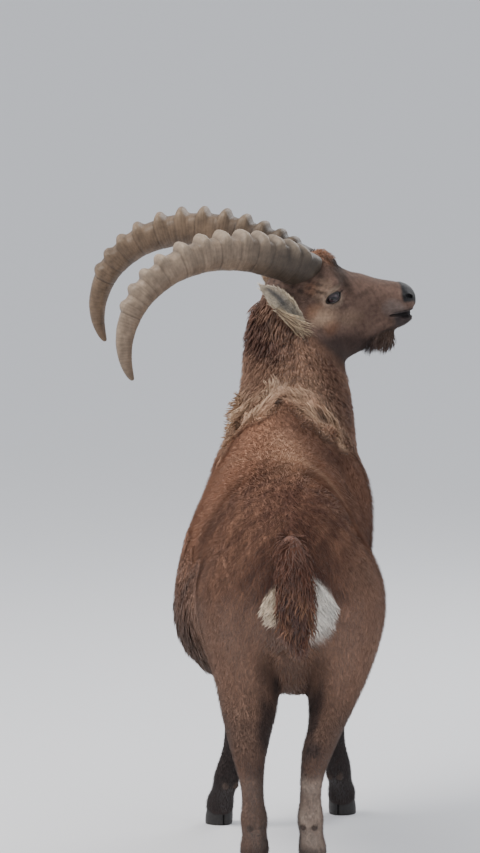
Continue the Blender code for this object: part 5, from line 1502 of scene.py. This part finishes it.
def ear_coat(skin, side, word):
    """Short hair over the ear, longer pale hair in its cup, and long strands along its lower edge."""
    rng = np.random.default_rng(12)
    surface = Surface(skin)
    middles, facing = surface.middles()
    along, _, _, _, _ = ear_place(side, middles)
    density = np.where(along > 0.02, 3.6 / (0.009 * 0.0016), 0.0)
    roots, normals = surface.draw(density, rng)
    along, over, axis, face, across = ear_place(side, roots)
    inside = ramp(normals @ face, 0.0, 0.4)
    way = axis[None] + across[None] * (0.35 * over)[:, None]
    length = 0.009 + 0.006 * inside
    colour = ear_colour(side, roots, normals)
    made = tufts(
        "ear_hair_" + word, roots, normals, way, length, 0.0015 + 0.0003 * inside, 0.0018 + 0.0012 * inside,
        np.full(len(roots), 0.25), colour * 0.72, colour * 1.10, 2, rng,
    )
    count = 340
    t = 0.58 * rng.uniform(0.0, 1.0, count)
    base, tip = np.array(EAR_BASE), np.array(EAR_TIPS[side])
    half = np.interp(t, [row[0] for row in EAR_ROWS], [row[1] for row in EAR_ROWS])
    half = half + LOWER_EDGE * EAR_CURVE * np.sin(math.pi * np.clip(t, 0.0, 1.0))
    edge = np.cross(unit(tip - base), unit(np.array(EAR_FACE)))
    local = base + (tip - base) * t[:, None] - LOWER_EDGE * edge * (half * rng.uniform(0.55, 0.98, count))[:, None]
    local = local + rng.normal(size=(count, 3)) * 0.0015
    mirror = np.array((1.0, side, 1.0))
    roots = (local * mirror) @ np.array(HEAD)[:3, :3].T + np.array(HEAD)[:3, 3]
    out = from_head(np.tile(np.array((0.0, 1.0, 0.0)) * mirror, (count, 1)))
    fall = unit(base - tip) * rng.uniform(0.9, 1.1, count)[:, None]
    way = from_head((fall - LOWER_EDGE * edge * rng.uniform(-0.34, 0.12, count)[:, None]) * mirror)
    colour = blend(np.tile(EAR_RIM, (count, 1)), EAR_BACK, rng.uniform(0, 0.6, count))
    colour = blend(colour, NAPE_DARK, 0.8 * (rng.uniform(0, 1, count) < 0.35))
    made += tufts(
        "ear_strands_" + word, roots, out, way, rng.uniform(0.040, 0.080, count), np.full(count, 0.0014),
        np.full(count, 0.010), np.full(count, 0.35), colour * 0.75, colour * 1.1, 3, rng, wave=0.07,
    )
    return made


def node(tree, kind, **values):
    made = tree.nodes.new(kind)
    for name, value in values.items():
        setattr(made, name, value)
    return made


def look(name, roughness, grain, grain_amount, bump, bump_size, wet=False, coat=0.0, sheen=0.0):
    """A material in the colours of its points, with fine noise over them and a bump."""
    made = bpy.data.materials.new(name)
    made.use_nodes = True
    tree = made.node_tree
    shader = tree.nodes["Principled BSDF"]
    shader.inputs["Roughness"].default_value = roughness
    shader.inputs["Coat Weight"].default_value = coat
    shader.inputs["Coat Roughness"].default_value = 0.05
    shader.inputs["Sheen Weight"].default_value = sheen
    shader.inputs["Specular IOR Level"].default_value = 0.35
    colour = node(tree, "ShaderNodeAttribute", attribute_name="coat_colour")
    place = node(tree, "ShaderNodeTexCoord")
    noise = node(tree, "ShaderNodeTexNoise")
    noise.inputs["Scale"].default_value = grain
    noise.inputs["Detail"].default_value = 5.0
    tree.links.new(place.outputs["Object"], noise.inputs["Vector"])
    tone = node(tree, "ShaderNodeMapRange")
    tone.inputs["From Min"].default_value = 0.3
    tone.inputs["From Max"].default_value = 0.7
    tone.inputs["To Min"].default_value = 1.0 - grain_amount
    tone.inputs["To Max"].default_value = 1.0 + grain_amount
    tree.links.new(noise.outputs["Fac"], tone.inputs["Value"])
    mixed = node(tree, "ShaderNodeVectorMath", operation="SCALE")
    tree.links.new(colour.outputs["Color"], mixed.inputs[0])
    tree.links.new(tone.outputs["Result"], mixed.inputs["Scale"])
    tree.links.new(mixed.outputs["Vector"], shader.inputs["Base Color"])
    if bump:
        relief = node(tree, "ShaderNodeTexNoise")
        relief.inputs["Scale"].default_value = bump_size
        relief.inputs["Detail"].default_value = 4.0
        tree.links.new(place.outputs["Object"], relief.inputs["Vector"])
        raised = node(tree, "ShaderNodeBump")
        raised.inputs["Strength"].default_value = bump
        raised.inputs["Distance"].default_value = 0.001
        tree.links.new(relief.outputs["Fac"], raised.inputs["Height"])
        tree.links.new(raised.outputs["Normal"], shader.inputs["Normal"])
    if wet:
        shine = node(tree, "ShaderNodeAttribute", attribute_name="wet")
        dry = node(tree, "ShaderNodeMapRange")
        dry.inputs["To Min"].default_value = roughness
        dry.inputs["To Max"].default_value = 0.62
        tree.links.new(shine.outputs["Fac"], dry.inputs["Value"])
        tree.links.new(dry.outputs["Result"], shader.inputs["Roughness"])
    return made


def plain_look(name, colour, roughness):
    made = bpy.data.materials.new(name)
    made.use_nodes = True
    shader = made.node_tree.nodes["Principled BSDF"]
    shader.inputs["Base Color"].default_value = (*colour, 1.0)
    shader.inputs["Roughness"].default_value = roughness
    return made


def finished(piece, surface, replaced=()):
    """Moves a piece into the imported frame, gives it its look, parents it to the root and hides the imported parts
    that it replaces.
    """
    piece.data.transform(Matrix.Translation(ORIGIN))
    piece.data.materials.clear()
    piece.data.materials.append(surface)
    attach(piece, "root")
    if replaced:
        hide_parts(*replaced)
    return piece


def studio():
    """A pale floor, one large soft light from above and a weaker one, and pale light all round."""
    shape = bmesh.new()
    bmesh.ops.create_grid(shape, x_segments=1, y_segments=1, size=70.0)
    mesh = bpy.data.meshes.new("floor")
    shape.to_mesh(mesh)
    shape.free()
    floor = bpy.data.objects.new("floor", mesh)
    bpy.context.scene.collection.objects.link(floor)
    floor.data.materials.append(plain_look("floor", linear(222, 222, 224), 0.9))

    world = bpy.data.worlds.new("pale")
    world.use_nodes = True
    world.node_tree.nodes["Background"].inputs["Color"].default_value = (0.92, 0.95, 1.0, 1.0)
    world.node_tree.nodes["Background"].inputs["Strength"].default_value = 0.95
    bpy.context.scene.world = world
    lamp("key", (-1.9, -0.7, 3.6), 2.2, 150.0, (1.0, 0.97, 0.93))
    lamp("fill", (2.8, -2.2, 1.8), 2.5, 16.0, (0.95, 0.97, 1.0))
    lamp("rim", (1.6, 2.6, 2.6), 2.5, 60.0, (1.0, 1.0, 1.0))


def lamp(name, at, size, power, colour):
    data = bpy.data.lights.new(name, "AREA")
    data.shape = "DISK"
    data.size = size
    data.energy = power
    data.color = colour
    made = bpy.data.objects.new(name, data)
    made.location = Vector(at)
    aim = Vector((0.0, 0.0, 0.65)) - made.location
    made.rotation_mode = "QUATERNION"
    made.rotation_quaternion = aim.to_track_quat("-Z", "Y")
    bpy.context.scene.collection.objects.link(made)


def camera():
    """The photograph's view: from behind and a little above, through a long lens."""
    rise = math.radians(CAMERA_ELEVATION)
    right = Vector((1.0, 0.0, 0.0))
    up = Vector((0.0, math.sin(rise), math.cos(rise)))
    back = Vector((0.0, -math.cos(rise), math.sin(rise)))
    focal_pixels = PIXELS_PER_METRE * CAMERA_DISTANCE
    aside = (FRAME_WIDTH / 2 - ORIGIN_PIXEL[0]) / focal_pixels
    above = (ORIGIN_PIXEL[1] - FRAME_HEIGHT / 2) / focal_pixels
    ahead = (right * aside + up * above - back).normalized()
    data = bpy.data.cameras.new("camera")
    data.sensor_width = 36.0
    data.lens = focal_pixels / FRAME_HEIGHT * data.sensor_width
    data.clip_start = 1.0
    data.clip_end = 300.0
    made = bpy.data.objects.new("camera", data)
    made.location = back * CAMERA_DISTANCE + ORIGIN
    made.rotation_mode = "QUATERNION"
    made.rotation_quaternion = ahead.to_track_quat("-Z", "Y")
    bpy.context.scene.collection.objects.link(made)
    bpy.context.scene.camera = made


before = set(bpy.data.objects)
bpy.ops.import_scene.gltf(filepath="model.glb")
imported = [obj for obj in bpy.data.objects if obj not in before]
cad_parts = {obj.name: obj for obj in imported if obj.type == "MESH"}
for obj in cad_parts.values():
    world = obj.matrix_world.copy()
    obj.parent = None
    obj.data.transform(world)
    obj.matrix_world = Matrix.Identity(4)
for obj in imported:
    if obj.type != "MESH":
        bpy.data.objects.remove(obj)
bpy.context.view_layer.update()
camera()
studio()

hair_look = look("hair", 0.72, 90.0, 0.16, 0.0, 1.0, sheen=0.12)
skin_look = look("skin", 0.80, 160.0, 0.22, 0.6, 420.0, wet=True)
horn_look = look("horn", 0.55, 120.0, 0.16, 0.7, 260.0)
eye_look = look("eye", 0.16, 300.0, 0.10, 0.0, 1.0, coat=0.35)

legs = ("hind_right", "hind_left", "fore_right", "fore_left")
skin = flesh()
coat = body_coat(skin)
finished(smooth_shaded(skin), skin_look, ("torso", "neck", "head", *(leg_name + "_leg" for leg_name in legs)))
tail = tail_skin()
coat += tail_coat(tail)
finished(tail, hair_look, ("tail",))

for side, word in ((1, "left"), (-1, "right")):
    one_ear = ear(side, word)
    coat += ear_coat(one_ear, side, word)
    finished(one_ear, skin_look, ("ear_" + word,))
    finished(horn(side, word), horn_look, ("horn_" + word,))
    finished(eyeball(side, word), eye_look, ("eye_" + word,))
    finished(lid_rim(side, word), plain_look("lid_rim_" + word, linear(26, 20, 20), 0.4))

for piece in coat:
    finished(piece, hair_look)

hoof_look = look("hoof", 0.5, 200.0, 0.25, 0.5, 300.0)
for leg_name in legs:
    for side in (-1, 1):
        end = "out" if (side > 0) == leg_name.endswith("right") else "in"
        half = claw(leg_name, side, f"{leg_name}_claw_{end}")
        colour_points(half, np.tile(HOOF_COAT, (len(half.data.vertices), 1)))
        finished(half, hoof_look, (f"{leg_name}_hoof_{end}",))
